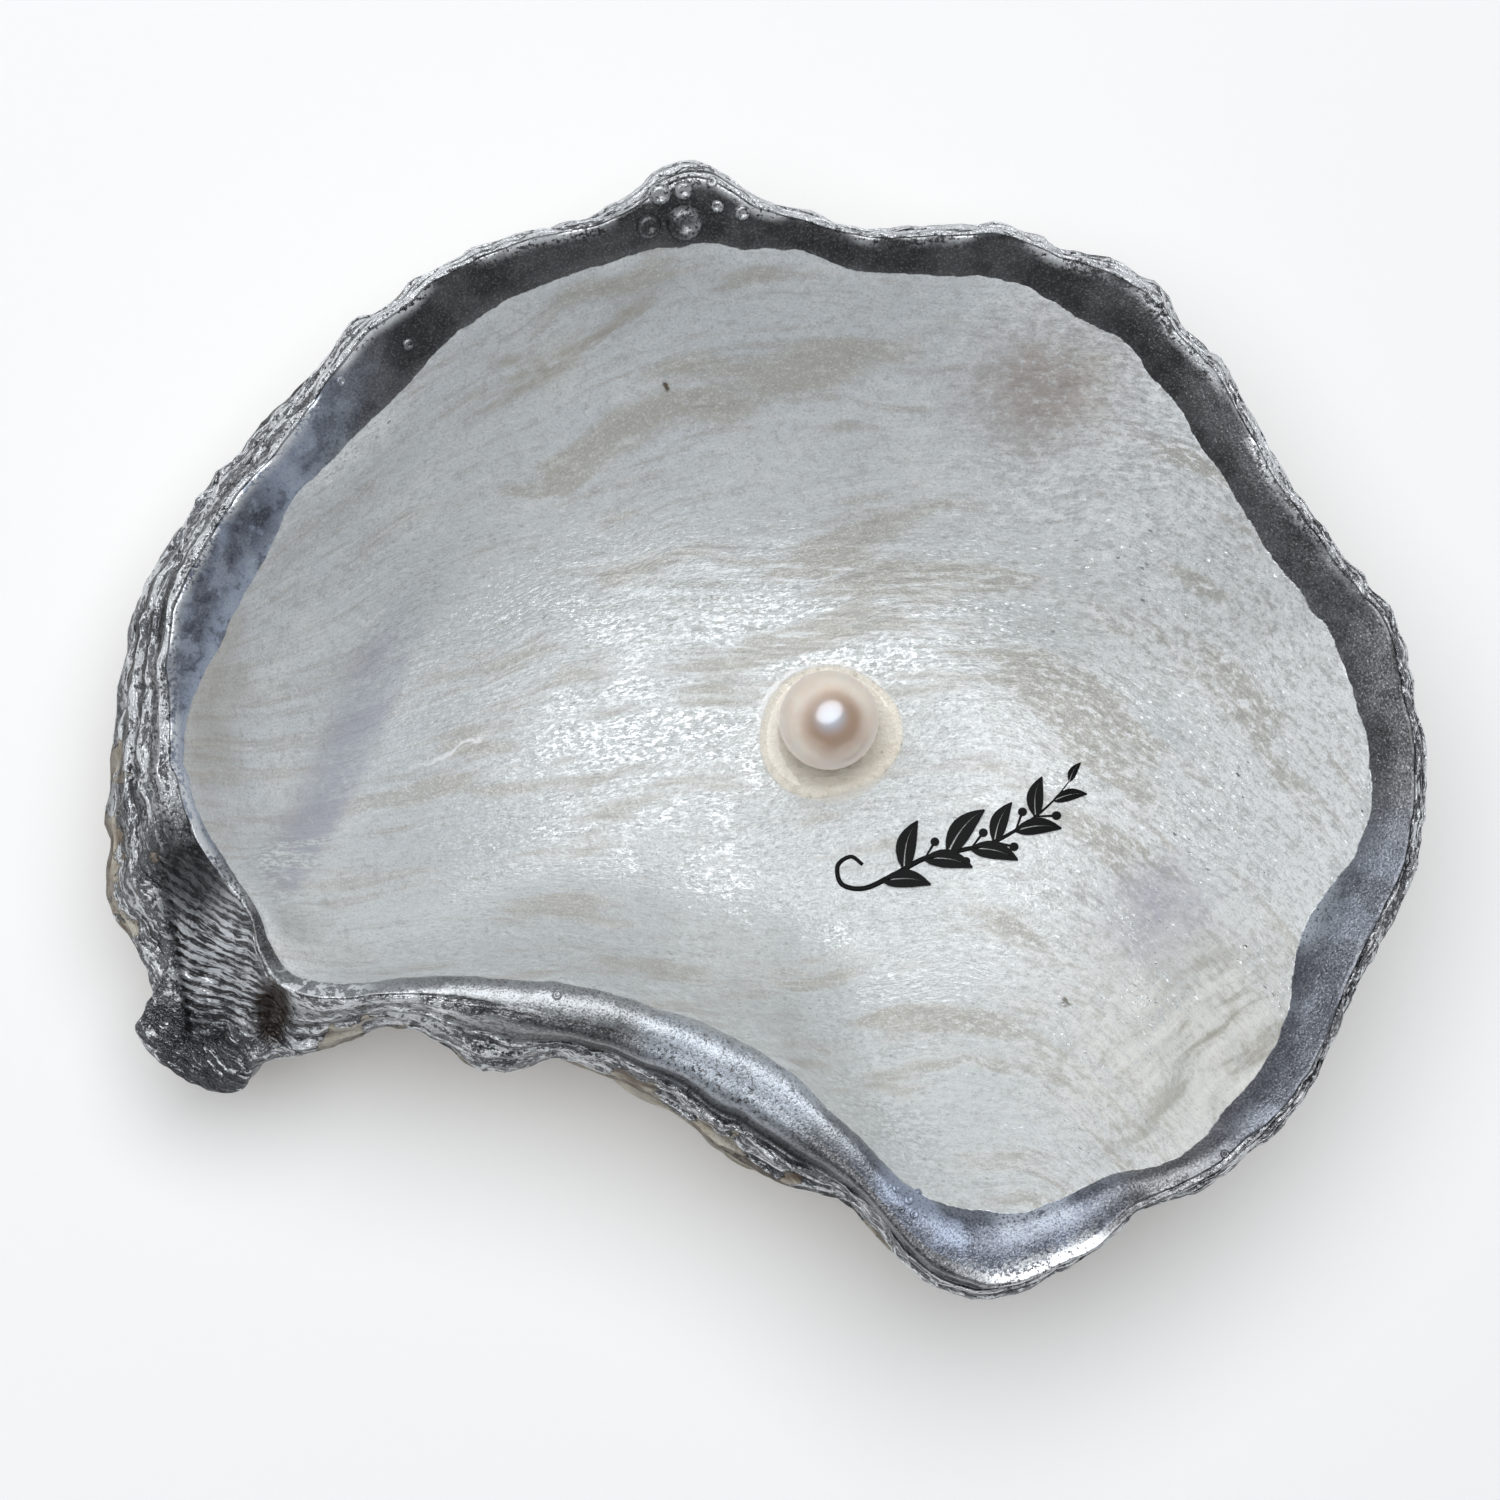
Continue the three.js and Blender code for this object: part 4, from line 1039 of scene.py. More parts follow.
def silver_paint(m):
    """Silver metal paint: satin on the band inside the lip, and crusted over the rough edges of the shell.
    Highlights, reflections and shade are painted into its colour.
    """
    place = m.place()
    x, y, _ = m.split(place)
    inward, outer, trough, crusted = (m.mark(name) for name in ("inward", "outer", "trough", "crust"))
    cloud = m.noise(place, 0.9, 3, 0.65)
    patch = m.noise(place, 0.2)
    wear_and_reflection = m.noise(place, 0.5, 3, 0.65)
    clusters = m.noise(m.layers(0.3, 1.4), 1.0, 3, 0.6)
    gaps = m.noise(m.layers(0.25, 2.4), 1.0, 2, 0.6)
    facets = m.noise(m.layers(1.6, 3.0), 1.0, 2, 0.6)
    grain = m.noise(place, 3.6, 2, 0.7)
    grit = m.noise(place, 6.0, 1, 0.65)
    side = m.step(inward, 0.0, -0.8)

    # The parts of the rim that are painted as if in other light, and in other thicknesses of paint: painted
    # shade and reflections on the band, painted light on the front roll
    at_left = m.step(x, -26, -36) * m.step(y, -14, -5)
    at_top = m.step(y, 12, 22) * (1.0 - at_left)
    at_bottom = m.step(y, -22, -34) * m.step(x, 28, 20)
    low_right = m.step(x, 28, 36) * m.step(y, -2, -10)
    blue_reflection = m.most(at_left, at_bottom, low_right * 0.5) * m.between(side, 1.0, 0.1)
    on_roll = m.step(y, -16, -19) * m.step(x, 10, 0) * m.step(inward, -0.6, 0.4)
    beyond_roll = m.most(m.step(y, -17, -12), m.step(x, 12, 18))
    # The beak's tip, where shade is painted and fewer glints
    tip = side * m.dab(place, (-41.6, -24.0), 4.4, 1.4, (0.9, 1))
    sheen_by_paint = m.step(inward - m.mark("band"), -1.8, -0.4)
    light_patch = m.dab(place, (-35.3, 16.8), 2.4, 1.4, (1, 0.8))
    lighter = m.most(m.step(patch, 0.48, 0.6), sheen_by_paint * at_left, light_patch) * m.between(blue_reflection, 0.2, 0.85)
    dim = m.dab(place, (-37.2, 14.6), 1.8, 1.6, (1, 0.8)) * m.step(cloud, 0.3, 0.5)
    # Strokes of painted highlight on the front roll, the lower right and the bottom
    highlight_strokes = m.most(
        m.stroke(place, (-11.0, -20.9), (4.5, -28.6), 1.7, 2.0),
        m.stroke(place, (40.4, -8.6), (37.4, -16.0), 1.4, 1.8),
        m.stroke(place, (15.0, -35.6), (22.0, -33.4), 0.8, 1.6),
    )
    highlight_strokes = highlight_strokes * m.step(cloud, 0.25, 0.45) * m.step(grain, 0.34, 0.48)
    gritty = m.between(m.most(at_left, at_top), 0.5, 0.25)

    # White metal: painted glints on flecks of the crust, most on the laminae's edges, a painted highlight
    # along the crest of the lip, and white flakes in three places
    lit = facets * 0.7 + grain * 0.4 + (clusters - 0.5) * 0.8
    lit = lit + m.mark("edge") * 0.16 - tip * 0.1 + at_top * 0.1
    glint_flecks = crusted * m.step(lit, 0.54, 0.65)
    presence = m.step(m.noise(place, 0.16), 0.36, 0.52) * beyond_roll * m.step(x - y * 0.3, 44, 30)
    crest = m.step(inward, 1.0, 0.1) * m.step(outer, -0.06, -0.09) * presence
    crest = crest * m.step(grain + (clusters - 0.5) * 0.8, 0.38, 0.5)
    by_hinge = m.most(
        m.dab(place, (-32.2, -18.9), 2.8, 1.2, (0.8, 1.3)),
        m.dab(place, (-25.3, -20.4), 2.2, 1.0, (0.7, 1.6)),
    )
    at_right = m.stroke(place, (43.0, -11.5), (41.0, -16.6), 0.7, 0.5) * m.step(inward, 0.6, 0.1)
    flaked = m.most(by_hinge * m.step(m.noise(place, 1.3, 3, 0.6), 0.5, 0.56), at_right)
    white = m.most(glint_flecks, crest, flaked)

    # The ligament's trough: bright ridges where the light falls on it, dark towards its top
    striae = m.mark("striae")
    threads = m.noise(m.join(striae * 3.0, x * 0.6, y * 0.6), 1.0, 4, 0.75)
    ridge = m.math("PINGPONG", striae, 0.5) * 0.35 + threads * 1.1 + cloud * 0.4
    ridge = m.step(ridge, 0.77, 0.92) * trough
    sunlit = m.dab(place, (-39.4, -17.2), 4.6, 3.0, (1, 0.8))
    shaded = m.dab(place, (-41.0, -9.6), 3.0, 1.6, (1, 0.8))
    pocket = m.dab(place, (POCKET_X, POCKET_Y), POCKET_RADIUS, 0.7, (1.2, 0.7))

    colour = m.over(
        m.blend(m.step(cloud, 0.3, 0.75), linear(86, 86, 87), linear(118, 119, 121)),
        # Painted reflections: darker at the top, a blue reflection at the left, the bottom and the lower
        # right, and painted light on the front roll
        (at_top * 0.6, (60, 59, 60)),
        (blue_reflection * 0.55, (140, 149, 170)),
        (on_roll * m.between(m.step(cloud, 0.3, 0.6), 0.5, 0.85), (200, 204, 207)),
        # Lighter patches of silver, mostly painted reflection in a blue tint, with a painted sheen along the
        # pearl paint's edge at the left; then light and dark patches and a dim patch at the left, all painted
        # reflection
        (lighter, m.blend(blue_reflection, linear(150, 151, 153), linear(180, 192, 214))),
        (at_left * m.step(wear_and_reflection, 0.5, 0.6) * 0.6, (190, 200, 216)),
        (at_left * m.step(wear_and_reflection, 0.47, 0.38) * 0.6, (70, 74, 88)),
        (dim * 0.7, (66, 68, 78)),
        (highlight_strokes * 0.85, (222, 232, 244)),
        (m.step(grit, 0.54, 0.68) * gritty, (184, 185, 188)),
        (m.step(grit, 0.46, 0.34) * gritty, (54, 53, 54)),
        (crusted * 0.9, (116, 118, 122)),
        # Painted shade in the low gaps of the crust
        (crusted * m.step(gaps, 0.46, 0.36) * 0.85, (40, 38, 40)),
        (white * 0.92, (246, 249, 252)),
        # Painted shade in the crevices
        (m.mark("crevice") * 0.9, (26, 24, 25)),
        (trough * 0.8, (48, 46, 48)),
        (ridge * m.between(sunlit, 0.55, 1.0), (240, 243, 247)),
        (shaded * side * 0.85, (28, 27, 30)),
        (pocket * side * 0.8, (70, 58, 49)),
        # Painted shade on the beak's tip
        (tip * m.step(lit, 0.56, 0.48) * 0.75, (54, 53, 57)),
    )
    height = grit * m.between(crusted, 0.02, 0.06) + grain * m.between(crusted, 0.03, 0.16)
    height = height + facets * crusted * 0.3 + (clusters + gaps) * crusted * 0.35 + ridge * 0.12
    painted_over = m.most(white * m.between(side, 1.0, 0.5), highlight_strokes, lighter * 0.7, at_left * 0.5)
    return {
        "colour": colour,
        "height": height,
        "metallic": m.between(painted_over, 0.86, 0.4),
        "roughness": m.between(white, cloud * 0.2 + m.between(crusted, 0.36, 0.14), 0.34),
        "glitter": m.between(crusted, 0.16, 0.26),
        "cells": m.vector("MULTIPLY", place, (8.5, 8.5, 8.5)),
    }


def bare_shell(m):
    """The chalky, layered outside of the shell."""
    place = m.place()
    layered = m.vector("ADD", m.layers(0.12, 1.3), m.vector("MULTIPLY", place, (0.25, 0.25, 0.4)))
    bands = m.noise(layered, 1.0, 4, 0.65)
    cloud = m.noise(place, 0.16, 3, 0.6)
    grit = m.noise(place, 2.4, 3, 0.7)
    colour = m.over(
        m.blend(m.step(bands, 0.4, 0.6), linear(212, 203, 184), linear(132, 116, 98)),
        (m.step(bands, 0.58, 0.68) * 0.8, (92, 76, 64)),
        (m.step(cloud, 0.5, 0.72) * 0.6, (112, 92, 88)),
        (m.step(cloud, 0.45, 0.28) * 0.6, (226, 222, 211)),
        (m.step(grit, 0.5, 0.68) * 0.5, (108, 92, 74)),
        # Painted shade in the crevices
        (m.mark("crevice") * 0.85, (58, 46, 38)),
        (m.mark("edge") * 0.5, (230, 225, 210)),
    )
    return {
        "colour": colour,
        "height": bands * 0.22 + grit * 0.2 + m.noise(place, 6.0, 2, 0.7) * 0.05,
        "metallic": 0.0,
        "roughness": m.between(grit, 0.55, 0.8),
        "glitter": 0.0,
        "cells": place,
    }


def pearl_material():
    """Nacre, with a painted dark reflection in its middle and a painted cool highlight where the light
    strikes it.
    """
    m = Shader("pearl")
    place = m.place()
    cloud = m.noise(place, 0.5, 3, 0.55)
    rings = m.noise(m.vector("MULTIPLY", place, (0.25, 0.25, 1.4)))
    dark_reflection = m.dab(place, (GLUE_X - 0.5, GLUE_Y - 0.2), 2.3, 0.9)
    painted_highlight = m.dab(place, (GLUE_X - 0.9, GLUE_Y + 0.3), 0.8, 0.9)
    colour = m.over(
        m.blend(m.step(cloud, 0.3, 0.7), linear(255, 242, 226), linear(246, 226, 206)),
        (m.step(rings, 0.45, 0.7) * 0.35, (250, 232, 222)),
        (dark_reflection * 0.9, (180, 148, 124)),
        (painted_highlight * 0.8, (206, 224, 250)),
    )
    m.set(Base_Color=colour, Metallic=0.0, Roughness=m.between(cloud, 0.4, 0.5))
    m.set(Coat_Weight=1.0, Coat_Roughness=0.2, Coat_IOR=2.2, Sheen_Weight=0.6, Sheen_Roughness=0.4)
    m.set(Sheen_Tint=linear(255, 236, 228), Subsurface_Weight=0.25, Subsurface_Scale=0.001)
    m.set(Normal=m.bump(m.noise(place, 1.2) * 0.02 + m.noise(place, 6) * 0.003))
    return m.material


def glue_material():
    m = Shader("clear_glue")
    m.set(Base_Color=linear(255, 250, 242), Roughness=0.02, IOR=1.48, Transmission_Weight=0.9)
    m.set(Normal=m.bump(m.noise(m.place(), 0.45) * 0.1))
    absorption = m.result("ShaderNodeVolumeAbsorption", {"Color": linear(246, 226, 200), "Density": 18.0})
    m.feed(m.group.nodes["Material Output"].inputs["Volume"], absorption)
    return m.material


def bubble_material():
    m = Shader("glue_bubble")
    m.set(Base_Color=linear(252, 250, 246), Roughness=0.02, IOR=1.2, Transmission_Weight=1.0)
    return m.material


def ink_material():
    m = Shader("ink")
    place = m.place()
    wear_and_reflection = m.step(m.noise(place, 1.6, 3, 0.7), 0.62, 0.78)
    m.set(Base_Color=m.blend(wear_and_reflection * 0.5, linear(9, 9, 10), linear(40, 39, 40)))
    m.set(Roughness=m.between(wear_and_reflection, 0.5, 0.65), Specular_IOR_Level=0.12)
    m.set(Normal=m.bump(m.noise(place, 5.0) * 0.012))
    return m.material


DROP_HEIGHT = 40.0  # in millimetres, from where blisters and ink fall onto the shell
DROP_REACH = 0.2  # in metres


class Tree(Nodes):
    """A Geometry Nodes tree with named inputs, given by their kinds. Its finish is one of them."""

    def __init__(self, name, **inputs):
        super().__init__(bpy.data.node_groups.new(name, "GeometryNodeTree"))
        sockets = self.group.interface
        for kind, labels in {"Geometry": ["Geometry"], **inputs, "Material": ["Finish"]}.items():
            for label in labels:
                sockets.new_socket(label, in_out="INPUT", socket_type="NodeSocket" + kind)
        sockets.new_socket("Geometry", in_out="OUTPUT", socket_type="NodeSocketGeometry")
        self.start = self.group.nodes.new("NodeGroupInput")
        self.end = self.group.nodes.new("NodeGroupOutput")

    def given(self, label):
        return self.start.outputs[label]

    def named(self, name, kind="FLOAT"):
        return self.result("GeometryNodeInputNamedAttribute", {"Name": name}, "Attribute", data_type=kind)

    def shape_of(self, label):
        """The mesh of an object given to the tree."""
        return self.result("GeometryNodeObjectInfo", {"Object": self.given(label)}, "Geometry")

    def random(self, low, high, seed):
        return self.value("FunctionNodeRandomValue", {2: low, 3: high, "Seed": seed}, 1, data_type="FLOAT")

    def chance(self, share, seed):
        inputs = {"Probability": share, "Seed": seed}
        return self.result("FunctionNodeRandomValue", inputs, 3, data_type="BOOLEAN")

    def moved(self, geometry, **how):
        return self.result("GeometryNodeSetPosition", {"Geometry": geometry, **how})

    def set_out(self, points, instance, **how):
        """Puts an instance on each point."""
        return self.result("GeometryNodeInstanceOnPoints", {"Points": points, "Instance": instance, **how})

    def realized(self, geometry):
        return self.result("GeometryNodeRealizeInstances", {"Geometry": geometry})

    def aligned(self, axis, vector, rotation=None, pivot="AUTO"):
        """A rotation that points an axis along a vector."""
        inputs = {"Vector": vector} if rotation is None else {"Vector": vector, "Rotation": rotation}
        return self.result("FunctionNodeAlignRotationToVector", inputs, axis=axis, pivot_axis=pivot)

    def turned(self, rotation, axis, angle):
        """A rotation turned further about one of its own axes."""
        turn = self.result("FunctionNodeAxisAngleToRotation", {"Axis": axis, "Angle": angle})
        inputs = {"Rotation": rotation, "Rotate By": turn}
        return self.result("FunctionNodeRotateRotation", inputs, rotation_space="LOCAL")

    def dropped(self, label, position):
        """Where a point lands when it falls on an object, and which way the surface faces there."""
        ray = self.node("GeometryNodeRaycast", {
            "Target Geometry": self.shape_of(label), "Source Position": position,
            "Ray Direction": (0, 0, -1), "Ray Length": DROP_REACH,
        })
        return ray.outputs["Hit Position"], ray.outputs["Hit Normal"]

    def finish(self, geometry):
        inputs = {"Geometry": self.realized(geometry), "Material": self.given("Finish")}
        self.feed(self.end.inputs[0], self.result("GeometryNodeSetMaterial", inputs))
        return self.group


def grown(name, host, tree, values):
    """Runs a tree on a host object and keeps the result as a plain mesh at the origin."""
    modifier = host.modifiers.new(name, "NODES")
    modifier.node_group = tree
    for socket in tree.interface.items_tree:
        if socket.in_out == "INPUT" and socket.name in values:
            modifier[socket.identifier] = values[socket.name]
    bpy.context.view_layer.update()
    evaluated = host.evaluated_get(bpy.context.evaluated_depsgraph_get())
    mesh = bpy.data.meshes.new_from_object(evaluated)
    host.modifiers.remove(modifier)
    bpy.data.objects.remove(host)
    mesh.name = name
    return placed(name, mesh)


def turned_shape(name, profile, centre, columns, lobe=0.0):
    """A closed turned shape. Its profile, radius and height, runs from the axis above to the axis below.

    A lobe above 0 makes it a little uneven, as a drop of glue is.
    """
    turns = np.arange(columns) / columns * 2 * np.pi
    centre = np.array(centre, float)
    grid = []
    wave = np.sin(2 * turns + 0.9) + 0.6 * np.sin(3 * turns + 2)
    for radius, height in profile[1:-1]:
        wide = radius * (1 + lobe * (radius / profile[-2][0]) ** 2 * wave)
        grid.append(np.column_stack([wide * np.cos(turns), wide * np.sin(turns), np.full(columns, height)]))
    count = len(grid) * columns
    points = np.vstack([*grid, [[0, 0, profile[0][1]], [0, 0, profile[-1][1]]]]) + centre
    return mesh_object(name, points, grid_faces(len(grid), columns, count, count + 1))


PEARL_ROWS, PEARL_COLUMNS = 49, 96
PEARL_UNEVENNESS, PEARL_LUMPS = 0.035, 3.4


def make_pearl(centre, radius):
    angles = np.linspace(0, np.pi, PEARL_ROWS)
    profile = [(radius * math.sin(a), radius * math.cos(a)) for a in angles]
    piece = turned_shape("set_pearl", profile, centre, PEARL_COLUMNS)
    places = np.array([v.co for v in piece.data.vertices]) / MM
    outward = (places - centre) / radius
    places = places + outward * column(PEARL_UNEVENNESS * lumps(places, PEARL_LUMPS, 31))
    piece.data.vertices.foreach_set("co", (places * MM).ravel())
    return piece


# The glue dab from its top, hidden in the pearl, down its rim: radius and height over the floor
GLUE_PROFILE = (
    (0.0, 1.8), (2.9, 1.8), (3.2, 1.72), (3.42, 1.5), (3.65, 1.28), (3.95, 1.08), (4.3, 0.97), (4.6, 0.92),
    (4.8, 0.88), (4.95, 0.8), (5.06, 0.66), (5.14, 0.48), (5.2, 0.3), (5.24, 0.14), (5.26, 0.0),
    (5.24, -0.06), (3.0, -0.08), (0.0, -0.08),
)
GLUE_COLUMNS, GLUE_LOBE = 120, 0.02
BUBBLES_PER_AREA = 2.6e5  # to a square metre
BUBBLE_DEPTH = 0.25


def make_glue():
    dab = turned_shape("glue_dab", GLUE_PROFILE, (GLUE_X, GLUE_Y, FLOOR_Z), GLUE_COLUMNS, GLUE_LOBE)
    # Light passes through the clear dab to the paint under it
    dab.visible_shadow = False
    return dab


def glue_bubbles_tree():
    tree = Tree("glue bubbles", Float=["Density", "Depth", "Smallest", "Largest"], Int=["Seed"])
    inputs = {"Mesh": tree.given("Geometry"), "Density": tree.given("Density"), "Seed": tree.given("Seed")}
    spread = tree.node("GeometryNodeDistributePointsOnFaces", inputs).outputs
    sunk = tree.moved(spread["Points"], Offset=tree.scaled(spread["Normal"], tree.given("Depth")))
    ball = tree.result("GeometryNodeMeshIcoSphere", {"Radius": 0.5 * MM, "Subdivisions": 2}, "Mesh")
    size = tree.random(tree.given("Smallest"), tree.given("Largest"), tree.given("Seed"))
    return tree.finish(tree.set_out(sunk, ball, Scale=size))


def make_bubbles(finish):
    """Small bubbles caught in the glue dab, on a copy of it that the tree uses up."""
    host = make_glue()
    return grown("glue_bubbles", host, glue_bubbles_tree(), {
        "Density": BUBBLES_PER_AREA, "Depth": -BUBBLE_DEPTH * MM, "Smallest": 0.08, "Largest": 0.3, "Seed": 4,
        "Finish": finish,
    })


# Blisters under the silver paint: place in plan and width, in millimetres
BLISTERS = (
    (-6.7, 36.2, 2.7), (-9.3, 35.9, 1.9), (-8.6, 38.0, 1.7), (-6.9, 38.3, 1.4), (-2.6, 36.9, 1.2),
    (-4.4, 37.3, 1.0), (-4.9, 38.9, 0.9), (-15.6, -19.4, 0.7), (8.6, -32.9, 0.7), (9.5, -33.7, 0.8),
    (10.4, -33.1, 0.6), (9.9, -34.7, 0.7), (9.0, -34.4, 0.5), (32.3, -30.4, 0.7), (-26.4, 27.3, 0.9),
    (-31.2, 24.4, 0.8), (37.2, 17.1, 0.6), (43.9, -3.2, 0.5), (21.4, 33.9, 0.6),
)
# One blister of width 1, some of them fallen in: radius and height from the top to the foot
BLISTER_PROFILE = (
    (0.0, 0.1), (0.12, 0.13), (0.24, 0.21), (0.34, 0.22), (0.44, 0.12), (0.5, 0.0), (0.44, -0.2), (0.0, -0.2),
)
BLISTER_COLUMNS = 14


def blisters_tree():
    tree = Tree("paint blisters", Object=["Rim", "Blister"])
    hit, facing = tree.dropped("Rim", tree.result("GeometryNodeInputPosition", {}))
    inputs = {"Geometry": tree.given("Geometry"), "Name": "facing", "Value": facing}
    kept = tree.result("GeometryNodeStoreNamedAttribute", inputs, data_type="FLOAT_VECTOR")
    landed = tree.moved(kept, Position=hit)
    rotation = tree.aligned("Z", tree.named("facing", "FLOAT_VECTOR"))
    blisters = tree.set_out(landed, tree.shape_of("Blister"), Rotation=rotation, Scale=tree.named("size"))
    return tree.finish(blisters)


def make_blisters(shell, finish):
    host = mesh_object("blister_places", [(x, y, DROP_HEIGHT) for x, y, _ in BLISTERS], [])
    write_mark(host.data, "size", [width for _, _, width in BLISTERS])
    for name, value in {"inward": 0.5, "band": 3.0, "outer": -SIDE_DEPTH}.items():
        write_mark(host.data, name, [value] * len(BLISTERS))
    blister = turned_shape("blister", BLISTER_PROFILE, (0, 0, 0), BLISTER_COLUMNS)
    values = {"Rim": shell, "Blister": blister, "Finish": finish}
    piece = grown("paint_blisters", host, blisters_tree(), values)
    bpy.data.objects.remove(blister)
    return piece


def plate(upper, lower, row_count, column_count):
    """The points and faces of a closed thin plate between an upper and a lower grid of points."""
    faces, count = [], len(upper)
    for i in range(row_count - 1):
        for j in range(column_count - 1):
            a = i * column_count + j
            corners = (a, a + 1, a + 1 + column_count, a + column_count)
            faces.append(corners)
            faces.append(tuple(count + corner for corner in reversed(corners)))
    last = (row_count - 1) * column_count
    rim = list(range(column_count - 1))
    rim += list(range(column_count - 1, last, column_count))
    rim += list(range(last + column_count - 1, last, -1))
    rim += list(range(last, 0, -column_count))
    for a, b in zip(rim, rim[1:] + rim[:1]):
        faces.append((a, count + a, count + b, b))
    return [*upper, *lower], faces


# One scale of a lamina, in units of its own half width: it lies along x, with its free margin towards +y
SCALE_COLUMNS, SCALE_ROWS = 11, 3
SCALE_THICKNESS = 0.1
SCALE_DROOP = 0.4  # of its two ends
SCALE_TURN, SCALE_STRETCH = 0.15, 2.1
SCALE_LOWEST = 2.5  # over the table
SCALE_LEAST_EDGE, SCALE_LEAST_OUTER = 0.95, 0.04  # marks of the places that may carry one


def scale_shape():
    """A thin curved plate with a ragged free margin."""
    upper, lower = [], []
    for i, j in itertools.product(range(SCALE_ROWS), range(SCALE_COLUMNS)):
        across = j / (SCALE_COLUMNS - 1) * 2 - 1
        out = i / (SCALE_ROWS - 1)
        margin = (1 - across ** 4) * (1 + 0.12 * math.sin(9 * across + 1) + 0.07 * math.sin(17 * across))
        x, y = across * (1 - 0.1 * out), -0.5 + 0.95 * out * (0.3 + 0.7 * margin)
        z = 0.08 * out * out - SCALE_DROOP * across * across
        thick = SCALE_THICKNESS * (1 - 0.6 * out) * (1 - 0.5 * abs(across))
        upper.append((x, y, z + thick / 2))
        lower.append((x, y, z - thick / 2))
    return mesh_object("scale", *plate(upper, lower, SCALE_ROWS, SCALE_COLUMNS))


def scales_tree():
    tree = Tree("scales", Object=["Scale"], Float=["Share", "Smallest", "Largest", "Lift"], Int=["Seed"])
    facing, along = tree.named("facing", "FLOAT_VECTOR"), tree.named("along", "FLOAT_VECTOR")
    rotation = tree.aligned("X", along, tree.aligned("Z", facing), "Z")
    rotation = tree.turned(rotation, (0, 0, 1), tree.random(-SCALE_TURN, SCALE_TURN, 3))
    lifted = tree.turned(rotation, (1, 0, 0), tree.given("Lift"))
    size = tree.random(tree.given("Smallest"), tree.given("Largest"), 5)
    scales = tree.set_out(
        tree.given("Geometry"), tree.shape_of("Scale"),
        Rotation=lifted, Scale=tree.join(size * SCALE_STRETCH, size, size),
        Selection=tree.chance(tree.given("Share"), tree.given("Seed")),
    )
    return tree.finish(scales)


def make_scales(shell, finish):
    """Broken scales that stand up along the free edges of the belly's laminae."""
    mesh = shell.data
    count = len(mesh.vertices)
    places, facing, along, layers = (np.empty((count, 3)) for _ in range(4))
    mesh.vertices.foreach_get("co", places.ravel())
    mesh.vertex_normals.foreach_get("vector", facing.ravel())
    mesh.attributes["along"].data.foreach_get("vector", along.ravel())
    mesh.attributes["layers"].data.foreach_get("vector", layers.ravel())
    marks = {}
    for name in ("inward", "outer", "crevice", "crust", "edge", "band"):
        marks[name] = np.empty(count)
        mesh.attributes[name].data.foreach_get("value", marks[name])
    chosen = (marks["edge"] > SCALE_LEAST_EDGE) & (marks["outer"] > SCALE_LEAST_OUTER)
    chosen &= places[:, 2] > SCALE_LOWEST * MM
    host = mesh_object("scale_places", places[chosen] / MM, [])
    for name, values in marks.items():
        write_mark(host.data, name, values[chosen])
    for name, values in {"facing": facing, "along": along, "layers": layers}.items():
        write_mark(host.data, name, values[chosen], "FLOAT_VECTOR")
    scale = scale_shape()
    piece = grown("shell_scales", host, scales_tree(), {
        "Scale": scale, "Share": 0.06, "Smallest": 0.5, "Largest": 1.3, "Lift": 0.1, "Seed": 7,
        "Finish": finish,
    })
    bpy.data.objects.remove(scale)
    return piece


# The inked sprig: its stem in plan, and one leaf and one berry in units of the leaf's length
SPRIG_STEM = (
    (8.9, -8.2), (8.0, -7.6), (7.0, -8.3), (7.3, -9.7), (9.0, -10.0), (11.2, -9.0),
    (13.6, -7.7), (16.2, -7.1), (18.9, -6.4), (21.3, -5.0), (23.2, -3.4), (24.4, -1.9),
)
LEAF_ROWS, LEAF_COLUMNS = 9, 3
LEAF_HALF_WIDTH = 0.19
MIDRIB_GAP = 0.018
INK_ABOVE, INK_BELOW = 0.05, 0.05
BERRY_REACH, BERRY_RADIUS, STALK_HALF_WIDTH = 1.5, 0.34, 0.06


def leaf_half(side):
    """Half a leaf, from its midrib out, bent a little to one side."""
    upper, lower = [], []
    for i, j in itertools.product(range(LEAF_ROWS), range(LEAF_COLUMNS)):
        t, out = i / (LEAF_ROWS - 1), j / (LEAF_COLUMNS - 1)
        half_width = LEAF_HALF_WIDTH * math.sin(math.pi * (0.04 + 0.94 * t ** 0.85)) ** 0.9
        bend = 0.13 * math.sin(math.pi * 0.8 * t)
        y = side * (MIDRIB_GAP * (1 - t) + out * half_width) + bend
        upper.append((t, y, INK_ABOVE))
        lower.append((t, y, -INK_BELOW))
    if side < 0:
        upper, lower = lower, upper
    return plate(upper, lower, LEAF_ROWS, LEAF_COLUMNS)


def leaf_shape():
    left, left_faces = leaf_half(1)
    right, right_faces = leaf_half(-1)
    shifted = [tuple(len(left) + corner for corner in face) for face in right_faces]
    return mesh_object("leaf", left + right, left_faces + shifted, smooth=False)


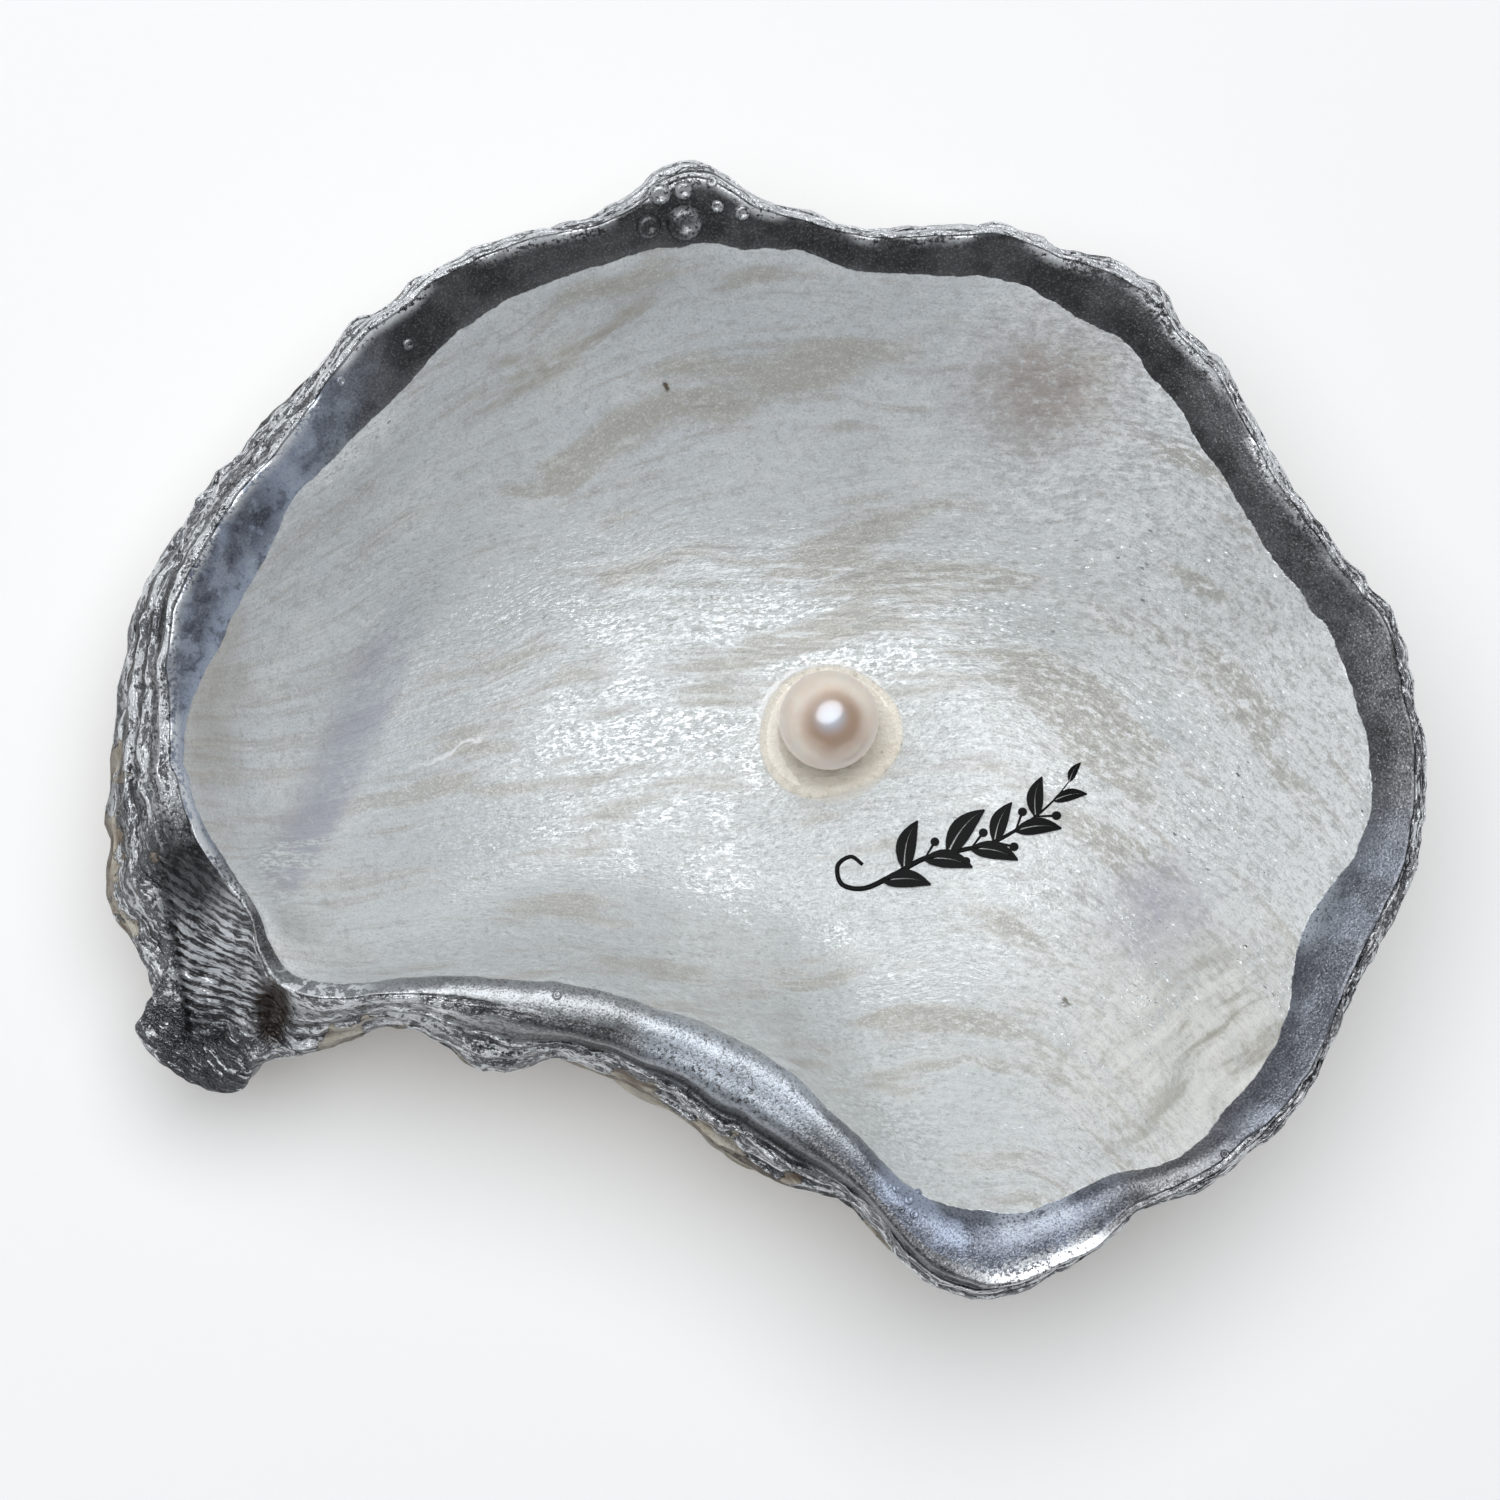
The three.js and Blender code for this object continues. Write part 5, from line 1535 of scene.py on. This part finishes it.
def sprig_tree():
    sizes = ["Stem Width", "Leaf Length", "Spread", "Flatness", "Drop"]
    tree = Tree("inked sprig", Object=["Shell", "Leaf", "Berry"], Int=["Leaves"], Float=sizes)
    # The stem, which swells in the middle, pressed flat
    stem = tree.result("GeometryNodeMeshToCurve", {"Mesh": tree.given("Geometry")})
    factor = tree.result("GeometryNodeSplineParameter", {}, "Factor")
    width = tree.math("SINE", tree.math("MULTIPLY_ADD", factor, 2.2, 0.75)) * tree.given("Stem Width")
    round_nib = {"Resolution": 8, "Radius": 0.5 * MM}
    nib = tree.result("GeometryNodeCurvePrimitiveCircle", round_nib, mode="RADIUS")
    inputs = {"Curve": stem, "Profile Curve": nib, "Scale": width, "Fill Caps": True}
    line = tree.result("GeometryNodeCurveToMesh", inputs)
    x, y, z = tree.split(tree.result("GeometryNodeInputPosition", {}))
    pressed = tree.moved(line, Position=tree.join(x, y, z * tree.given("Flatness")))

    # Leaves that lean to one side and the other in turn, one ahead at the tip, and berries opposite them
    knots = tree.result("GeometryNodeResampleCurve", {"Curve": stem, "Count": tree.given("Leaves")})
    index = tree.result("GeometryNodeInputIndex", {})
    side = tree.math("MULTIPLY_ADD", tree.math("MODULO", index, 2.0), 2.0, -1.0)
    at_tip = tree.math("GREATER_THAN", factor, 0.99)
    turn = side * tree.given("Spread") * (1.0 - at_tip) + tree.random(-0.12, 0.12, 11)
    ahead = tree.aligned("X", tree.result("GeometryNodeInputTangent", {}), pivot="Z")
    grown_in = tree.math("SINE", tree.math("MULTIPLY_ADD", factor, 2.0, 0.7))
    leaves = tree.set_out(
        knots, tree.shape_of("Leaf"), Rotation=tree.turned(ahead, (0, 0, 1), turn),
        Scale=grown_in * tree.random(0.86, 1.1, 12) * tree.given("Leaf Length"),
        Selection=tree.math("GREATER_THAN", factor, 0.27),
    )
    other_side = side * tree.given("Spread") * -1.0
    berries = tree.set_out(
        knots, tree.shape_of("Berry"), Rotation=tree.turned(ahead, (0, 0, 1), other_side),
        Selection=tree.math("GREATER_THAN", factor, 0.4) * tree.math("LESS_THAN", factor, 0.9),
    )

    # All of it dropped onto the paint
    joined = tree.node("GeometryNodeJoinGeometry", {})
    for part in (pressed, leaves, berries):
        tree.feed(joined.inputs[0], part)
    hit, _ = tree.dropped("Shell", tree.join(x, y, tree.given("Drop")))
    landed = tree.vector("ADD", hit, tree.join(0.0, 0.0, z))
    return tree.finish(tree.moved(tree.realized(joined.outputs[0]), Position=landed))


def berry_shape():
    """A dot of ink on a short stalk."""
    turns = np.linspace(-math.pi + 0.3, math.pi - 0.3, 15)
    dot = [(BERRY_REACH + BERRY_RADIUS * math.cos(turn), BERRY_RADIUS * math.sin(turn)) for turn in turns]
    outline = [(0.0, -STALK_HALF_WIDTH), *dot, (0.0, STALK_HALF_WIDTH)]
    upper = [(x, y, INK_ABOVE) for x, y in outline]
    lower = [(x, y, -INK_BELOW) for x, y in outline]
    count = len(outline)
    faces = [tuple(range(count)), tuple(reversed(range(count, 2 * count)))]
    faces += [(a, count + a, count + (a + 1) % count, (a + 1) % count) for a in range(count)]
    return mesh_object("berry", upper + lower, faces, smooth=False)


def make_sprig(shell, finish):
    stem = sampled(SPRIG_STEM, steps=10)
    edges = [(i, i + 1) for i in range(len(stem) - 1)]
    mesh = bpy.data.meshes.new("sprig_stem")
    mesh.from_pydata([(x * MM, y * MM, 0.0) for x, y in stem], edges, [])
    host = placed("sprig_stem", mesh)
    leaf, berry = leaf_shape(), berry_shape()
    piece = grown("inked_sprig", host, sprig_tree(), {
        "Shell": shell, "Leaf": leaf, "Berry": berry, "Leaves": 14, "Stem Width": 0.42, "Leaf Length": 4.1,
        "Spread": 0.66, "Flatness": 0.3, "Drop": DROP_HEIGHT * MM, "Finish": finish,
    })
    for shape in (leaf, berry):
        bpy.data.objects.remove(shape)
    return piece


# The camera: which way it lies from the shell, what it looks at and how large the photograph shows it
CAMERA_WAY = (-0.11, -0.11, 0.99)
CAMERA_DISTANCE = 330.0
CAMERA_TARGET = (-1.95, -1.85, 24.0)
PIXELS_PER_MM = 14.05
IMAGE_WIDTH = 1500
SENSOR = 36.0
LAMP_TARGET = (0, 0, 12)
TABLE_HALF_SIZE, TABLE_LEVEL = 1500.0, -0.03


def standing(way, target, distance, up):
    """A matrix at a distance from a target, in millimetres, whose -Z looks at the target."""
    back = Vector(way).normalized()
    right = Vector(up).cross(back).normalized()
    place = (Vector(target) + back * distance) * MM
    turned = Matrix((right, back.cross(right), back)).transposed().to_4x4()
    turned.translation = place
    return turned


def make_camera():
    data = bpy.data.cameras.new("camera")
    data.sensor_width = SENSOR
    data.lens = PIXELS_PER_MM * CAMERA_DISTANCE / IMAGE_WIDTH * SENSOR
    data.clip_start, data.clip_end = 0.01, 10
    camera = placed("camera", data)
    camera.matrix_world = standing(CAMERA_WAY, CAMERA_TARGET, CAMERA_DISTANCE, (0, 1, 0))
    bpy.context.scene.camera = camera


def soft_light(name, way, distance, width, height, power, colour):
    """A soft oval lamp that looks at the bowl. Sizes are in millimetres."""
    data = bpy.data.lights.new(name, "AREA")
    data.shape = "ELLIPSE"
    data.size, data.size_y = width * MM, height * MM
    data.energy, data.color = power, colour
    lamp = placed(name, data)
    lamp.matrix_world = standing(way, LAMP_TARGET, distance, (0, 0.01, 1))


def make_studio():
    world = bpy.data.worlds.new("studio")
    bpy.context.scene.world = world
    world.use_nodes = True
    backdrop = world.node_tree.nodes["Background"]
    nodes, links = world.node_tree.nodes, world.node_tree.links
    backdrop.inputs["Color"].default_value = (0.92, 0.95, 1.0, 1)
    # A pale room round the table and a dark ceiling, so that metal shows both
    height = nodes.new("ShaderNodeSeparateXYZ")
    links.new(nodes.new("ShaderNodeTexCoord").outputs["Generated"], height.inputs[0])
    fade = nodes.new("ShaderNodeMapRange")
    fade.interpolation_type = "SMOOTHSTEP"
    for name, value in {"From Min": 0.02, "From Max": 0.5, "To Min": 0.6, "To Max": 0.09}.items():
        fade.inputs[name].default_value = value
    links.new(height.outputs["Z"], fade.inputs["Value"])
    links.new(fade.outputs[0], backdrop.inputs["Strength"])
    soft_light("overhead_back", (-0.12, 0.2, 0.97), 800, 1000, 760, 6.2, (0.97, 0.985, 1.0))
    half = TABLE_HALF_SIZE
    corners = [(x, y, TABLE_LEVEL) for x, y in ((-half, -half), (half, -half), (half, half), (-half, half))]
    floor = mesh_object("floor", corners, [(0, 1, 2, 3)])
    m = Shader("floor")
    m.set(Base_Color=linear(252, 252, 252), Roughness=0.7)
    m.set(Emission_Color=linear(255, 255, 255), Emission_Strength=0.12)
    floor.data.materials.append(m.material)


def finished(piece, *finishes):
    """Gives a piece its materials."""
    for finish in finishes:
        piece.data.materials.append(finish)
    return piece


def belongs(piece, slot, *nodes):
    """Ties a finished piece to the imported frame."""
    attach(piece, BODY)
    if nodes:
        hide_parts(*nodes)


def middle_of(node):
    """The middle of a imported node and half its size, in millimetres."""
    low, high = (np.array(corner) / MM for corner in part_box(node))
    return (low + high) / 2, (high - low) / 2


silver_band, outside = band_finish(), outside_finish()
shell = finished(make_shell(), bowl_finish(), silver_band, outside)
pearl_centre, pearl_half = middle_of(PEARL)
pearl = finished(make_pearl(pearl_centre, pearl_half[0]), pearl_material())
glue = finished(make_glue(), glue_material())
bubbles = make_bubbles(bubble_material())
blisters = make_blisters(shell, silver_band)
scales = make_scales(shell, outside)
sprig = make_sprig(shell, ink_material())

belongs(shell, "painted_shell", SHELL)
belongs(pearl, "pearl", PEARL)
belongs(glue, "clear_glue", GLUE)
belongs(bubbles, "clear_glue")
belongs(blisters, "painted_shell")
belongs(scales, "painted_shell")
belongs(sprig, "ink")

make_camera()
make_studio()
bpy.context.scene.view_settings.view_transform = "Standard"
